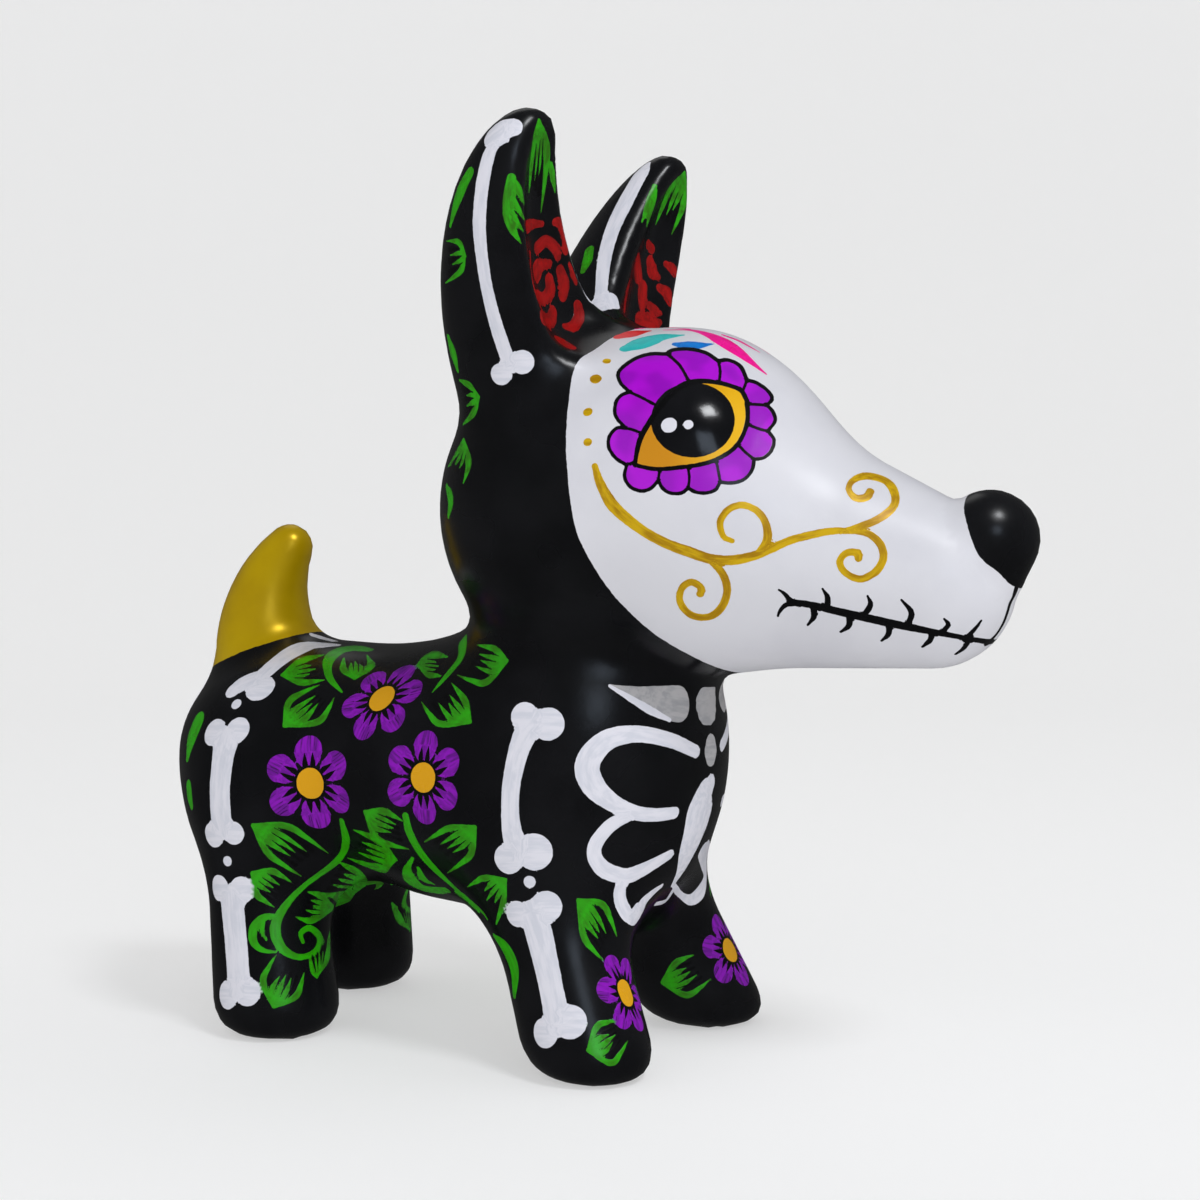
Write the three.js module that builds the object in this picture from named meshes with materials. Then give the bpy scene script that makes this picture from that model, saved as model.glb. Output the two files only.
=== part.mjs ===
// Painted ceramic dog figurine, slip-cast in one piece: a stocky body on four short legs, a big
// round head with a long muzzle and a ball of a nose, two upright ears with hollowed fronts,
// two slightly bulging eyes and a short tail that curls forward.
//
// Millimetres, +Z up. The dog looks along -Y, so its left side is +X. The origin is on the
// floor, under the middle of the figurine's box.
//
// Every shape below is a function that gives the distance from a point to its surface, negative
// inside. Shapes are joined by a soft union, which fills the inner corner between them as a
// thumb does in clay, and the finished surface is then covered with triangles of even size.

import * as THREE from "three";

// Torso: three ellipsoids along the spine. Half sizes are across, along and up.
const CHEST = { at: place(0, 2.6, 63.4), half: [32.4, 29, 39.4] };
const BARREL = { at: place(0, -24.6, 57), half: [32.2, 43.2, 29.2] };
const RUMP = { at: place(0, -68.6, 58.5), half: [30.5, 30.5, 25.7] };
const TORSO_BLEND = 14;

// Legs: round cones that run from inside the torso to the feet. The feet aren't quite a pair.
const FRONT_LEG = { side: 17.9, ahead: -1, up: 44.6, radius: 12.1, footRadius: 13 };
const FRONT_FEET = { right: { side: 25.7, ahead: 14.6 }, left: { side: 25.7, ahead: 16.9 } };
const REAR_LEG = { side: 19.1, ahead: -70.2, up: 44.2, radius: 11.9, footRadius: 13.8 };
const REAR_FEET = { right: { side: 23.3, ahead: -63.1 }, left: { side: 22.1, ahead: -71.8 } };
const FOOT_CENTRE_HEIGHT = 4;
const LEG_OVERRUN = 10;
const LEG_BLEND = 16.3;
const LEG_PAIR_BLEND = 8;
const SOLE_EDGE_BLEND = 8.2;
const SOLE_WIPED_HEIGHT = 0.3;

// Head: skull behind, brow in front, and a round cone from the cheeks to the muzzle.
const SKULL = { at: place(0, 2.7, 114.2), half: [38.3, 30.2, 34.4] };
const BROW = { at: place(0, 24.8, 118), half: [32.3, 31.2, 33.8] };
const CHEEKS = { at: place(0, 36.3, 108.9), radius: 27.4 };
const MUZZLE = { at: place(0, 78, 99.5), radius: 16.7 };
const HEAD_BLEND = 12.1;
const NECK_BLEND = 7.9;

// Eyes: two balls that stand a little proud of the brow.
const EYE = { at: place(16.1, 32.7, 126.2), radius: 15 };
const EYE_BLEND = 2.5;

// Nose: an egg with its small end down, a little wider than deep.
const NOSE_TOP = { at: place(0, 89.8, 108.6), radius: 9.6 };
const NOSE_TIP = { at: place(0, 91.8, 102.5), radius: 5.2 };
const NOSE_WIDENING = 1.09;
const NOSE_BLEND = 2.5;

// Ears: a ball swept up a curve, wider than deep and turned outward. The hollow in the front
// is a second, bigger ball swept ahead of the ear. These are the left ear's; the right mirrors.
const EAR_PATH = [place(15.3, -2.5, 145), place(26, -6, 161.8), place(33.7, 0.8, 180), place(32.8, 5.3, 188)];
const EAR_RADII = [16.5, 13.1, 11.75, 5.4];
const EAR_WIDENING = 1.13;
const EAR_TURN = 20;
const HOLLOW_PATH = [place(18, 18.8, 155), place(24, 16.3, 163), place(30, 14.3, 175), place(33, 12.3, 184)];
const HOLLOW_RADII = [16, 14.5, 12, 5.5];
const HOLLOW_RIM_BLEND = 4.5;
const EAR_PAIR_BLEND = 4;
const EAR_BLEND = 9.1;

// Tail: a ball swept up and forward along a curve.
const TAIL_PATH = [place(0, -76.7, 70.5), place(0, -86.3, 86.6), place(0, -80.2, 99.1), place(0, -74.4, 105.9)];
const TAIL_RADII = [14.5, 11.1, 7.7, 5];
const TAIL_BLEND = 5.6;

// Triangles: the size of the sampling cells, which shrink between the brow and the ears, how
// many cells there are from the middle to each side, and how often the mesh is evened out.
const BODY_CELL = 4.8;
const EAR_CELL = 3.2;
const CELLS_SHRINK_FROM = 124;
const CELLS_SHRINK_TO = 148;
const CELLS_ACROSS = 15;
const CELLS_ALONG = 23;
const LOWEST = -7;
const HIGHEST = 200;
const EVENING_ROUNDS = 4;
const EVENING_SHARE = 0.5;
const SEATING_ROUNDS = 3;
const SLOPE_STEP = 0.05;
const SWEEP_STEPS = 16;

// Glossy charcoal black, the figurine's ground colour.
const BLACK_GLAZE = { color: 0x141416, roughness: 0.28, metalness: 0 };

// A place by its distance to the dog's left, ahead of the middle and above the floor.
function place(side, ahead, up) {
  return new THREE.Vector3(side, -ahead, up);
}

function mirrored(point) {
  return new THREE.Vector3(-point.x, point.y, point.z);
}

// Union of two distances that also fills their inner corner, within reach of the blend.
function softUnion(a, b, blend) {
  const near = Math.max(blend - Math.abs(a - b), 0) / blend;
  return Math.min(a, b) - near * near * blend / 4;
}

// What both shapes have in common, with the outer corner rounded off.
function softCommon(a, b, blend) {
  return -softUnion(-a, -b, blend);
}

// An ellipsoid; the distance is true on its surface and close to true near it.
function ellipsoid({ at, half: [across, along, up] }) {
  return (p) => {
    const q = p.clone().sub(at);
    const scaled = Math.hypot(q.x / across, q.y / along, q.z / up);
    const steep = Math.hypot(q.x / across ** 2, q.y / along ** 2, q.z / up ** 2);
    return scaled * (scaled - 1) / Math.max(steep, 1e-9);
  };
}

function ball({ at, radius }) {
  return (p) => p.distanceTo(at) - radius;
}

// The hull of two balls of unlike size. Widening stretches it across.
function roundCone(from, to, widening = 1) {
  const squeeze = new THREE.Vector3(1 / widening, 1, 1);
  const start = from.at.clone().multiply(squeeze);
  const axis = to.at.clone().multiply(squeeze).sub(start);
  const length = axis.length();
  axis.normalize();
  const taper = (from.radius - to.radius) / length;
  const flank = Math.sqrt(1 - taper * taper);
  return (p) => {
    const q = p.clone().multiply(squeeze).sub(start);
    const along = q.dot(axis);
    const out = Math.sqrt(Math.max(q.lengthSq() - along * along, 0));
    const rise = along * flank + out * -taper;
    if (rise < 0) return Math.hypot(along, out) - from.radius;
    if (rise > length * flank) return Math.hypot(along - length, out) - to.radius;
    return out * flank + along * taper - from.radius;
  };
}

function cubic([a, b, c, d], t) {
  const s = 1 - t;
  return s * s * s * a + 3 * s * s * t * b + 3 * s * t * t * c + t * t * t * d;
}

// A ball whose radius changes as it is carried along a curve. The nearest of the sampled
// balls is found first, and a parabola through it and its neighbours gives the distance.
function sweptBall(path, radii, widening = 1, turn = 0) {
  const curve = new THREE.CubicBezierCurve3(...path);
  const steps = Array.from({ length: SWEEP_STEPS + 1 }, (_, i) => i / SWEEP_STEPS);
  const centres = steps.map((t) => curve.getPoint(t));
  const sizes = steps.map((t) => cubic(radii, t));
  const cos = Math.cos(turn);
  const sin = Math.sin(turn);
  return (p) => {
    const gaps = centres.map((c, i) => {
      const dx = p.x - c.x;
      const dy = p.y - c.y;
      const across = (dx * cos + dy * sin) / widening;
      const deep = dy * cos - dx * sin;
      return Math.hypot(across, deep, p.z - c.z) - sizes[i];
    });
    return lowestBetween(gaps);
  };
}

// The lowest value of a sampled curve, refined by a parabola through its three lowest samples.
function lowestBetween(samples) {
  let least = 0;
  samples.forEach((value, i) => {
    if (value < samples[least]) least = i;
  });
  const mid = Math.min(Math.max(least, 1), samples.length - 2);
  const [before, at, after] = samples.slice(mid - 1, mid + 2);
  const bend = before - 2 * at + after;
  if (bend < 1e-9) return at;
  const shift = Math.min(Math.max((before - after) / (2 * bend), -1), 1);
  return at - (before - after) * shift / 4;
}

// A leg from inside the torso through the middle of its foot and on below the floor.
function leg(top, foot, sideSign) {
  const hip = place(sideSign * top.side, top.ahead, top.up);
  const sole = place(sideSign * foot.side, foot.ahead, FOOT_CENTRE_HEIGHT);
  const overrun = LEG_OVERRUN / top.up;
  const end = sole.clone().sub(hip).multiplyScalar(1 + overrun).add(hip);
  const endRadius = top.footRadius + (top.footRadius - top.radius) * overrun;
  const cone = roundCone({ at: hip, radius: top.radius }, { at: end, radius: endRadius });
  return (p) => softCommon(cone(p), -p.z, SOLE_EDGE_BLEND);
}

function legPair(top, feet) {
  const left = leg(top, feet.left, 1);
  const right = leg(top, feet.right, -1);
  return (p) => softUnion(left(p), right(p), LEG_PAIR_BLEND);
}

function ear(side) {
  const onSide = (path) => (side > 0 ? path : path.map(mirrored));
  const turn = side * THREE.MathUtils.degToRad(EAR_TURN);
  const whole = sweptBall(onSide(EAR_PATH), EAR_RADII, EAR_WIDENING, turn);
  const hollow = sweptBall(onSide(HOLLOW_PATH), HOLLOW_RADII);
  return (p) => softCommon(whole(p), -hollow(p), HOLLOW_RIM_BLEND);
}

function torsoAndLegs() {
  const chest = ellipsoid(CHEST);
  const barrel = ellipsoid(BARREL);
  const rump = ellipsoid(RUMP);
  const front = legPair(FRONT_LEG, FRONT_FEET);
  const rear = legPair(REAR_LEG, REAR_FEET);
  return (p) => {
    let d = softUnion(chest(p), barrel(p), TORSO_BLEND);
    d = softUnion(d, rump(p), TORSO_BLEND);
    d = softUnion(d, front(p), LEG_BLEND);
    return softUnion(d, rear(p), LEG_BLEND);
  };
}

function headAndEars() {
  const skull = ellipsoid(SKULL);
  const brow = ellipsoid(BROW);
  const muzzle = roundCone(CHEEKS, MUZZLE);
  const leftEar = ear(1);
  const rightEar = ear(-1);
  const leftEye = ball(EYE);
  const rightEye = ball({ at: mirrored(EYE.at), radius: EYE.radius });
  return (p) => {
    let d = softUnion(skull(p), brow(p), HEAD_BLEND);
    d = softUnion(d, muzzle(p), HEAD_BLEND);
    d = softUnion(d, softUnion(leftEar(p), rightEar(p), EAR_PAIR_BLEND), EAR_BLEND);
    return softUnion(d, Math.min(leftEye(p), rightEye(p)), EYE_BLEND);
  };
}

function wholeDog() {
  const body = torsoAndLegs();
  const head = headAndEars();
  const tail = sweptBall(TAIL_PATH, TAIL_RADII);
  const nose = roundCone(NOSE_TOP, NOSE_TIP, NOSE_WIDENING);
  return (p) => {
    let d = softUnion(body(p), head(p), NECK_BLEND);
    d = softUnion(d, tail(p), TAIL_BLEND);
    return softUnion(d, nose(p), NOSE_BLEND);
  };
}

function cellSizeAt(height) {
  const share = THREE.MathUtils.smoothstep(height, CELLS_SHRINK_FROM, CELLS_SHRINK_TO);
  return THREE.MathUtils.lerp(BODY_CELL, EAR_CELL, share);
}

function cellLevels() {
  const levels = [LOWEST];
  while (levels.at(-1) < HIGHEST) levels.push(levels.at(-1) + cellSizeAt(levels.at(-1)));
  return levels;
}

// The distances at the corners of a tapering block of cells, looked up by whole-number place.
function sampleCells(distance) {
  const levels = cellLevels();
  const counts = [2 * CELLS_ACROSS + 1, 2 * CELLS_ALONG + 1, levels.length];
  const slot = (i, j, k) => (i * counts[1] + j) * counts[2] + k;
  const corner = (i, j, k) => {
    const cell = cellSizeAt(levels[k]);
    return new THREE.Vector3((i - CELLS_ACROSS) * cell, (j - CELLS_ALONG) * cell, levels[k]);
  };
  const values = new Float64Array(counts[0] * counts[1] * counts[2]);
  for (let i = 0; i < counts[0]; i++) {
    for (let j = 0; j < counts[1]; j++) {
      for (let k = 0; k < counts[2]; k++) values[slot(i, j, k)] = distance(corner(i, j, k));
    }
  }
  return { counts, corner, slot, value: (i, j, k) => values[slot(i, j, k)] };
}

// The twelve edges of a cell, each as its two corners.
const CELL_EDGES = [0, 1, 2].flatMap((axis) => [0, 1].flatMap((u) => [0, 1].map((v) => {
  const start = [0, 0, 0];
  start[(axis + 1) % 3] = u;
  start[(axis + 2) % 3] = v;
  const end = [...start];
  end[axis] = 1;
  return [start, end];
})));

// Where the surface crosses a cell's edges, averaged; null for a cell that it doesn't cross.
function crossingOf(cells, i, j, k) {
  const sum = new THREE.Vector3();
  let found = 0;
  for (const [[a, b, c], [d, e, f]] of CELL_EDGES) {
    const from = cells.value(i + a, j + b, k + c);
    const to = cells.value(i + d, j + e, k + f);
    if (from < 0 === to < 0) continue;
    const start = cells.corner(i + a, j + b, k + c);
    sum.add(start.lerp(cells.corner(i + d, j + e, k + f), from / (from - to)));
    found++;
  }
  return found ? sum.divideScalar(found) : null;
}

// One vertex for each cell that the surface crosses.
function placeVertices(cells) {
  const points = [];
  const numbers = new Map();
  for (let i = 0; i < cells.counts[0] - 1; i++) {
    for (let j = 0; j < cells.counts[1] - 1; j++) {
      for (let k = 0; k < cells.counts[2] - 1; k++) {
        const point = crossingOf(cells, i, j, k);
        if (!point) continue;
        numbers.set(cells.slot(i, j, k), points.length);
        points.push(point);
      }
    }
  }
  return { points, numbers };
}

// One four-sided face around each cell edge that the surface crosses, wound to face outward.
function joinFaces(cells, numbers) {
  const faces = [];
  const cellAt = (place) => numbers.get(cells.slot(...place));
  for (let axis = 0; axis < 3; axis++) {
    const u = (axis + 1) % 3;
    const v = (axis + 2) % 3;
    forEachInnerEdge(cells.counts, axis, (start, end) => {
      const inside = cells.value(...start) < 0;
      if (inside === cells.value(...end) < 0) return;
      const around = [[1, 1], [0, 1], [0, 0], [1, 0]].map(([du, dv]) => {
        const cell = [...start];
        cell[u] -= du;
        cell[v] -= dv;
        return cellAt(cell);
      });
      faces.push(inside ? around : around.reverse());
    });
  }
  return faces;
}

function forEachInnerEdge(counts, axis, visit) {
  const first = [1, 1, 1];
  first[axis] = 0;
  for (let i = first[0]; i < counts[0] - 1; i++) {
    for (let j = first[1]; j < counts[1] - 1; j++) {
      for (let k = first[2]; k < counts[2] - 1; k++) {
        const end = [i, j, k];
        end[axis]++;
        visit([i, j, k], end);
      }
    }
  }
}

// The direction in which the distance grows fastest.
function slopeAt(distance, p) {
  const slope = new THREE.Vector3();
  for (const axis of ["x", "y", "z"]) {
    const step = new THREE.Vector3();
    step[axis] = SLOPE_STEP;
    slope[axis] = distance(p.clone().add(step)) - distance(p.clone().sub(step));
  }
  return slope.divideScalar(2 * SLOPE_STEP);
}

// Moves a point onto the surface, down or up the slope of the distance.
function seat(distance, p) {
  for (let round = 0; round < SEATING_ROUNDS; round++) {
    const slope = slopeAt(distance, p);
    p.addScaledVector(slope, -distance(p) / slope.lengthSq());
  }
}

function neighboursOf(points, faces) {
  const neighbours = points.map(() => new Set());
  for (const face of faces) {
    face.forEach((number, i) => {
      neighbours[number].add(face[(i + 1) % 4]);
      neighbours[number].add(face[(i + 3) % 4]);
    });
  }
  return neighbours;
}

// Draws each vertex towards the middle of its neighbours, then back onto the surface.
function evenOut(points, faces, distance) {
  const neighbours = neighboursOf(points, faces);
  for (let round = 0; round < EVENING_ROUNDS; round++) {
    const middles = neighbours.map((around) => {
      const sum = new THREE.Vector3();
      around.forEach((number) => sum.add(points[number]));
      return sum.divideScalar(around.size);
    });
    points.forEach((p, i) => p.lerp(middles[i], EVENING_SHARE));
    points.forEach((p) => seat(distance, p));
  }
}

// The soles are wiped flat while the clay is soft, so that the figurine stands without rocking.
function wipeSoles(points) {
  for (const p of points) {
    if (p.z < SOLE_WIPED_HEIGHT) p.z = 0;
  }
}

// Splits each four-sided face along its shorter diagonal.
function splitFaces(points, faces) {
  return faces.flatMap(([a, b, c, d]) => {
    const first = points[a].distanceTo(points[c]);
    const second = points[b].distanceTo(points[d]);
    return first < second ? [a, b, c, a, c, d] : [a, b, d, b, c, d];
  });
}

function coverWithTriangles(distance) {
  const cells = sampleCells(distance);
  const { points, numbers } = placeVertices(cells);
  const faces = joinFaces(cells, numbers);
  evenOut(points, faces, distance);
  wipeSoles(points);
  const geometry = new THREE.BufferGeometry().setFromPoints(points);
  geometry.setIndex(splitFaces(points, faces));
  geometry.computeVertexNormals();
  return geometry;
}

const figurine = new THREE.Mesh(coverWithTriangles(wholeDog()), new THREE.MeshStandardMaterial(BLACK_GLAZE));
figurine.name = "dog_figurine";

const model = new THREE.Group();
model.add(figurine);

export default model;
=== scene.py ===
# %% [markdown]
# # A painted ceramic dog
# This lesson dresses a small ceramic dog: a smooth slip casting, dipped in glossy charcoal black and then
# painted by hand with a white skull face, bones, flowers, leaves and a gold tail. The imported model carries
# the casting's form in coarse facets. Everything here starts from it and stays inside its box. Lengths are
# in millimetres, as on the maker's bench, until a mesh goes into Blender, which counts in metres.

import bpy
import numpy as np
from mathutils import Matrix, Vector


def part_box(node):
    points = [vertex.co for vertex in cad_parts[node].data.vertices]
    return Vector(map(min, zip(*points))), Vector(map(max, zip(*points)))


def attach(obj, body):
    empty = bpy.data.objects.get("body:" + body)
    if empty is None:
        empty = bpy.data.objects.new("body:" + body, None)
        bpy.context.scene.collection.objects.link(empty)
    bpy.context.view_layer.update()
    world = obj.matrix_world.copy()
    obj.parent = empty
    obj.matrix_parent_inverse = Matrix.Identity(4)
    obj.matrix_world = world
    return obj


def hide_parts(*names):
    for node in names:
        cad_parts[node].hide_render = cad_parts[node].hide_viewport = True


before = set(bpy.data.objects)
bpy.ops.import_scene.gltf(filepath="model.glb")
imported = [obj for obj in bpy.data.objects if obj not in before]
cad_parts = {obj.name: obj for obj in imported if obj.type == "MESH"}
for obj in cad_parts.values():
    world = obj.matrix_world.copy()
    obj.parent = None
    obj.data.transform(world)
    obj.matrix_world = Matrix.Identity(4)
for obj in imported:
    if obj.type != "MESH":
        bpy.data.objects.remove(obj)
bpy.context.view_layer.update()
MILLIMETRE = 0.001
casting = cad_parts["dog_figurine"]

# %% [markdown]
# ## The camera
# The photograph is a close one, so its perspective is strong: the near ear looks much taller than the far
# one. A long lens from far away would lose that. The camera therefore stands where the photographer's did,
# about 45 cm away. It is given as a turn about the dog, a lift above the floor and a distance from the
# point that it aims at. The same numbers later carry brush strokes from the photograph onto the dog.

# %% Set up the camera
PHOTO_PIXELS = 1200
PHOTO_MIDDLE = 600
FOCAL_PIXELS = 2106.92
SENSOR_WIDTH = 36.0
CAMERA_TURN = np.radians(-63.884)
CAMERA_LIFT = np.radians(2.842)
CAMERA_DISTANCE = 449.21
CAMERA_AIM = np.array([0.0, -4.562, 94.769])


def direction(turn, lift):
    """The unit step out from the dog: turn runs round it from straight ahead (-Y), lift rises from level."""
    return np.array([np.sin(turn) * np.cos(lift), -np.cos(turn) * np.cos(lift), np.sin(lift)])


def aimed(step, place):
    """A matrix, in metres, for a thing at place whose own +Z points along step and whose X stays level."""
    right = np.cross([0.0, 0.0, 1.0], step)
    right /= np.linalg.norm(right)
    matrix = np.eye(4)
    matrix[:3, :3] = np.stack([right, np.cross(step, right), step], axis=1)
    matrix[:3, 3] = place * MILLIMETRE
    return Matrix(matrix.tolist())


camera_back = direction(CAMERA_TURN, CAMERA_LIFT)
camera_right = np.cross([0.0, 0.0, 1.0], camera_back) / np.cos(CAMERA_LIFT)
camera_up = np.cross(camera_back, camera_right)
camera_place = CAMERA_AIM + camera_back * CAMERA_DISTANCE
lens = bpy.data.cameras.new("photographer")
lens.sensor_width = SENSOR_WIDTH
lens.lens = SENSOR_WIDTH * FOCAL_PIXELS / PHOTO_PIXELS
lens.clip_start = 0.01
camera = bpy.data.objects.new("photographer", lens)
camera.matrix_world = aimed(camera_back, camera_place)
bpy.context.scene.collection.objects.link(camera)
bpy.context.scene.camera = camera
bpy.context.scene.view_settings.view_transform = "Standard"
print(f"lens {lens.lens:.1f} mm, {CAMERA_DISTANCE:.0f} mm from its aim")

# %% [markdown]
# ## Floor and light
# The object is shown in a light tent: a pale floor that curves up into pale walls all round, so every side
# is seen against the same quiet ground. The tent is one profile carried round a circle. It glows a little,
# as white cloth with lamps behind it does, but is hidden from mirror rays, because a wide white wall
# would wash out the black enamel. What the enamel mirrors are three softboxes: a key high above the
# camera, whose small bright spots tell the eye that the paint is glossy, a weaker bluish one lower down,
# which draws the long glints on the shoulder and the leg, and a faint one behind.

# %% Raise the light tent
TENT_FLAT_RADIUS = 750.0
TENT_BEND_RADIUS = 900.0
TENT_WALL_HEIGHT = 1500.0
TENT_BEND_STEPS = 16
TENT_SIDES = 96
TENT_GLOW = 0.47
CLOTH_GREY = 0.5
CLOTH_ROUGHNESS = 0.9


def tent_profile():
    """Radius and height along the tent: flat floor, then a quarter circle, then a straight wall."""
    bend = np.linspace(0, np.pi / 2, TENT_BEND_STEPS)
    radius = TENT_FLAT_RADIUS + TENT_BEND_RADIUS * np.sin(bend)
    height = TENT_BEND_RADIUS * (1 - np.cos(bend))
    radius = np.concatenate([[0.0, TENT_FLAT_RADIUS / 2], radius, radius[-1:]])
    height = np.concatenate([[0.0, 0.0], height, [TENT_BEND_RADIUS + TENT_WALL_HEIGHT]])
    return radius, height


def carried_round(radius, height, sides):
    """The profile turned about Z: the grid point (i, j) is at radius i, height i and the turn of step j."""
    turn = np.linspace(0, 2 * np.pi, sides, endpoint=False)
    points = np.stack(
        [
            np.outer(radius, np.cos(turn)),
            np.outer(radius, np.sin(turn)),
            np.repeat(height[:, None], sides, axis=1),
        ],
        axis=-1,
    )
    row, step = np.meshgrid(np.arange(len(radius) - 1), np.arange(sides), indexing="ij")
    here = row * sides + step
    beside = row * sides + (step + 1) % sides
    quads = np.stack([here, here + sides, beside + sides, beside], axis=-1).reshape(-1, 4)
    return points.reshape(-1, 3), quads[:, ::-1]


def add_mesh(name, points, faces):
    """Puts points (mm) and faces into a new smooth mesh object, in metres, at the origin."""
    mesh = bpy.data.meshes.new(name)
    mesh.from_pydata((points * MILLIMETRE).tolist(), [], faces.tolist())
    mesh.polygons.foreach_set("use_smooth", np.ones(len(faces), bool))
    mesh.update()
    thing = bpy.data.objects.new(name, mesh)
    bpy.context.scene.collection.objects.link(thing)
    return thing


tent = add_mesh("light_tent", *carried_round(*tent_profile(), TENT_SIDES))
tent.visible_glossy = False

cloth = bpy.data.materials.new("tent_cloth")
cloth.use_nodes = True
cloth_shader = cloth.node_tree.nodes["Principled BSDF"]
cloth_shader.inputs["Base Color"].default_value = (CLOTH_GREY, CLOTH_GREY, CLOTH_GREY, 1)
cloth_shader.inputs["Roughness"].default_value = CLOTH_ROUGHNESS
cloth_shader.inputs["Emission Color"].default_value = (1.0, 1.0, 1.0, 1)
cloth_shader.inputs["Emission Strength"].default_value = TENT_GLOW
tent.data.materials.append(cloth)
print(len(tent.data.polygons), "faces in the light tent")

# %% Hang the softboxes
LIGHT_DISTANCE = 1150.0
WORLD_GLOW = 0.07


def softbox(name, turn, lift, size, power, tint):
    """A square area light of that size, in mm, at a turn and lift in degrees about the dog, facing the
    camera's aim."""
    step = direction(np.radians(turn), np.radians(lift))
    light = bpy.data.lights.new(name, "AREA")
    light.size = size * MILLIMETRE
    light.energy = power
    light.color = tint
    lamp = bpy.data.objects.new(name, light)
    lamp.matrix_world = aimed(step, CAMERA_AIM + step * LIGHT_DISTANCE)
    bpy.context.scene.collection.objects.link(lamp)
    print(f"{name}: {power} W, {size} mm wide, turned {turn} and lifted {lift} degrees")


softbox("key_softbox", turn=-28, lift=56, size=250, power=4.6, tint=(0.95, 0.97, 1.0))
softbox("front_softbox", turn=-48, lift=22, size=330, power=0.9, tint=(0.7, 0.82, 1.0))
softbox("rim_softbox", turn=125, lift=45, size=450, power=0.35, tint=(1.0, 1.0, 1.0))
world = bpy.data.worlds.new("studio")
world.use_nodes = True
world.node_tree.nodes["Background"].inputs["Color"].default_value = (1.0, 1.0, 1.0, 1)
world.node_tree.nodes["Background"].inputs["Strength"].default_value = WORLD_GLOW
bpy.context.scene.world = world

# %% [markdown]
# ## The casting as a formula
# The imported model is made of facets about 4 mm long. Glossy enamel shows every facet, and the brush strokes
# need points closer together than their own width. Blender's Subdivision Surface would round the facets
# but shrink the ears and nose. Instead the form is written down once more as a distance formula: less than
# zero in the clay, more than zero outside. Any new point of the mesh can then be slid onto the true surface.
# Three helpers carry it: places are given as side (to the dog's left), ahead (to its nose) and up, and two
# bodies are blended over a given width, as a thumb smooths clay into a corner.

# %% Blend bodies of clay
TINY = 1e-9


def place(side, ahead, up):
    """A point of the dog in millimetres."""
    return np.array([side, -ahead, up], float)


def soft_union(first, second, width):
    """The lesser distance, less a quarter of width times the squared share by which the two are close."""
    closeness = np.maximum(width - np.abs(first - second), 0) / width
    return np.minimum(first, second) - closeness * closeness * width / 4


def soft_common(first, second, width):
    """The greater distance, rounded the same way."""
    return -soft_union(-first, -second, width)


def ellipsoid(points, centre, half):
    """With a the length of p over the half sizes and b that over their squares, the distance is a(a-1)/b."""
    offset = points - centre
    near = np.linalg.norm(offset / half, axis=-1)
    steep = np.linalg.norm(offset / np.square(half), axis=-1)
    return near * (near - 1) / np.maximum(steep, TINY)


def round_cone(points, start, start_radius, end, end_radius, widening=1.0):
    """Distance to two balls and the cone that wraps them. Widening stretches it sideways."""
    narrow = np.array([1 / widening, 1, 1])
    axis = (end - start) * narrow
    length = np.linalg.norm(axis)
    axis = axis / length
    slope = (start_radius - end_radius) / length
    flat = np.sqrt(1 - slope * slope)
    offset = (points - start) * narrow
    along = offset @ axis
    out = np.sqrt(np.maximum((offset * offset).sum(-1) - along * along, 0))
    rise = along * flat - out * slope
    side_wall = out * flat + along * slope - start_radius
    far_cap = np.hypot(along - length, out) - end_radius
    near_cap = np.hypot(along, out) - start_radius
    return np.where(rise < 0, near_cap, np.where(rise > length * flat, far_cap, side_wall))


def cubic(controls, share):
    """The Bézier curve of four controls at the given shares of its run."""
    controls = np.asarray(controls, float)
    share = np.asarray(share, float).reshape((-1,) + (1,) * (controls.ndim - 1))
    rest = 1 - share
    first, second, third, last = controls
    return (
        rest**3 * first + 3 * rest**2 * share * second + 3 * rest * share**2 * third + share**3 * last
    )


SWEEP_STEPS = 16


def swept_ball(points, path, radii, widening=1.0, turn=0.0):
    """Distance to a ball that changes size along a Bézier path: the least over the steps, refined by the
    parabola through that step and its neighbours. Widening and turn make its level section an ellipse."""
    share = np.linspace(0, 1, SWEEP_STEPS + 1)
    centres = cubic(path, share)
    sizes = cubic(radii, share)
    gaps = np.empty((SWEEP_STEPS + 1, len(points)))
    for step in range(SWEEP_STEPS + 1):
        offset = points - centres[step]
        across = (offset[:, 0] * np.cos(turn) + offset[:, 1] * np.sin(turn)) / widening
        deep = offset[:, 1] * np.cos(turn) - offset[:, 0] * np.sin(turn)
        gaps[step] = np.sqrt(across**2 + deep**2 + offset[:, 2] ** 2) - sizes[step]
    least = np.clip(gaps.argmin(0), 1, SWEEP_STEPS - 1)
    column = np.arange(len(points))
    before, at, after = gaps[least - 1, column], gaps[least, column], gaps[least + 1, column]
    bend = before - 2 * at + after
    shift = np.clip((before - after) / np.maximum(2 * bend, 2 * TINY), -1, 1)
    return np.where(bend < TINY, at, at - (before - after) * shift / 4)


dent = soft_union(1.0, 1.0, 1.0)
print(f"two bodies 1 mm away, blended over 1 mm, meet {1 - dent:.2f} mm nearer")

# %% [markdown]
# The torso is three egg-shaped masses, chest, barrel and rump. Each leg is a cone that widens a little to a
# foot which is cut flat on the floor. The sizes are those of the casting.

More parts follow.
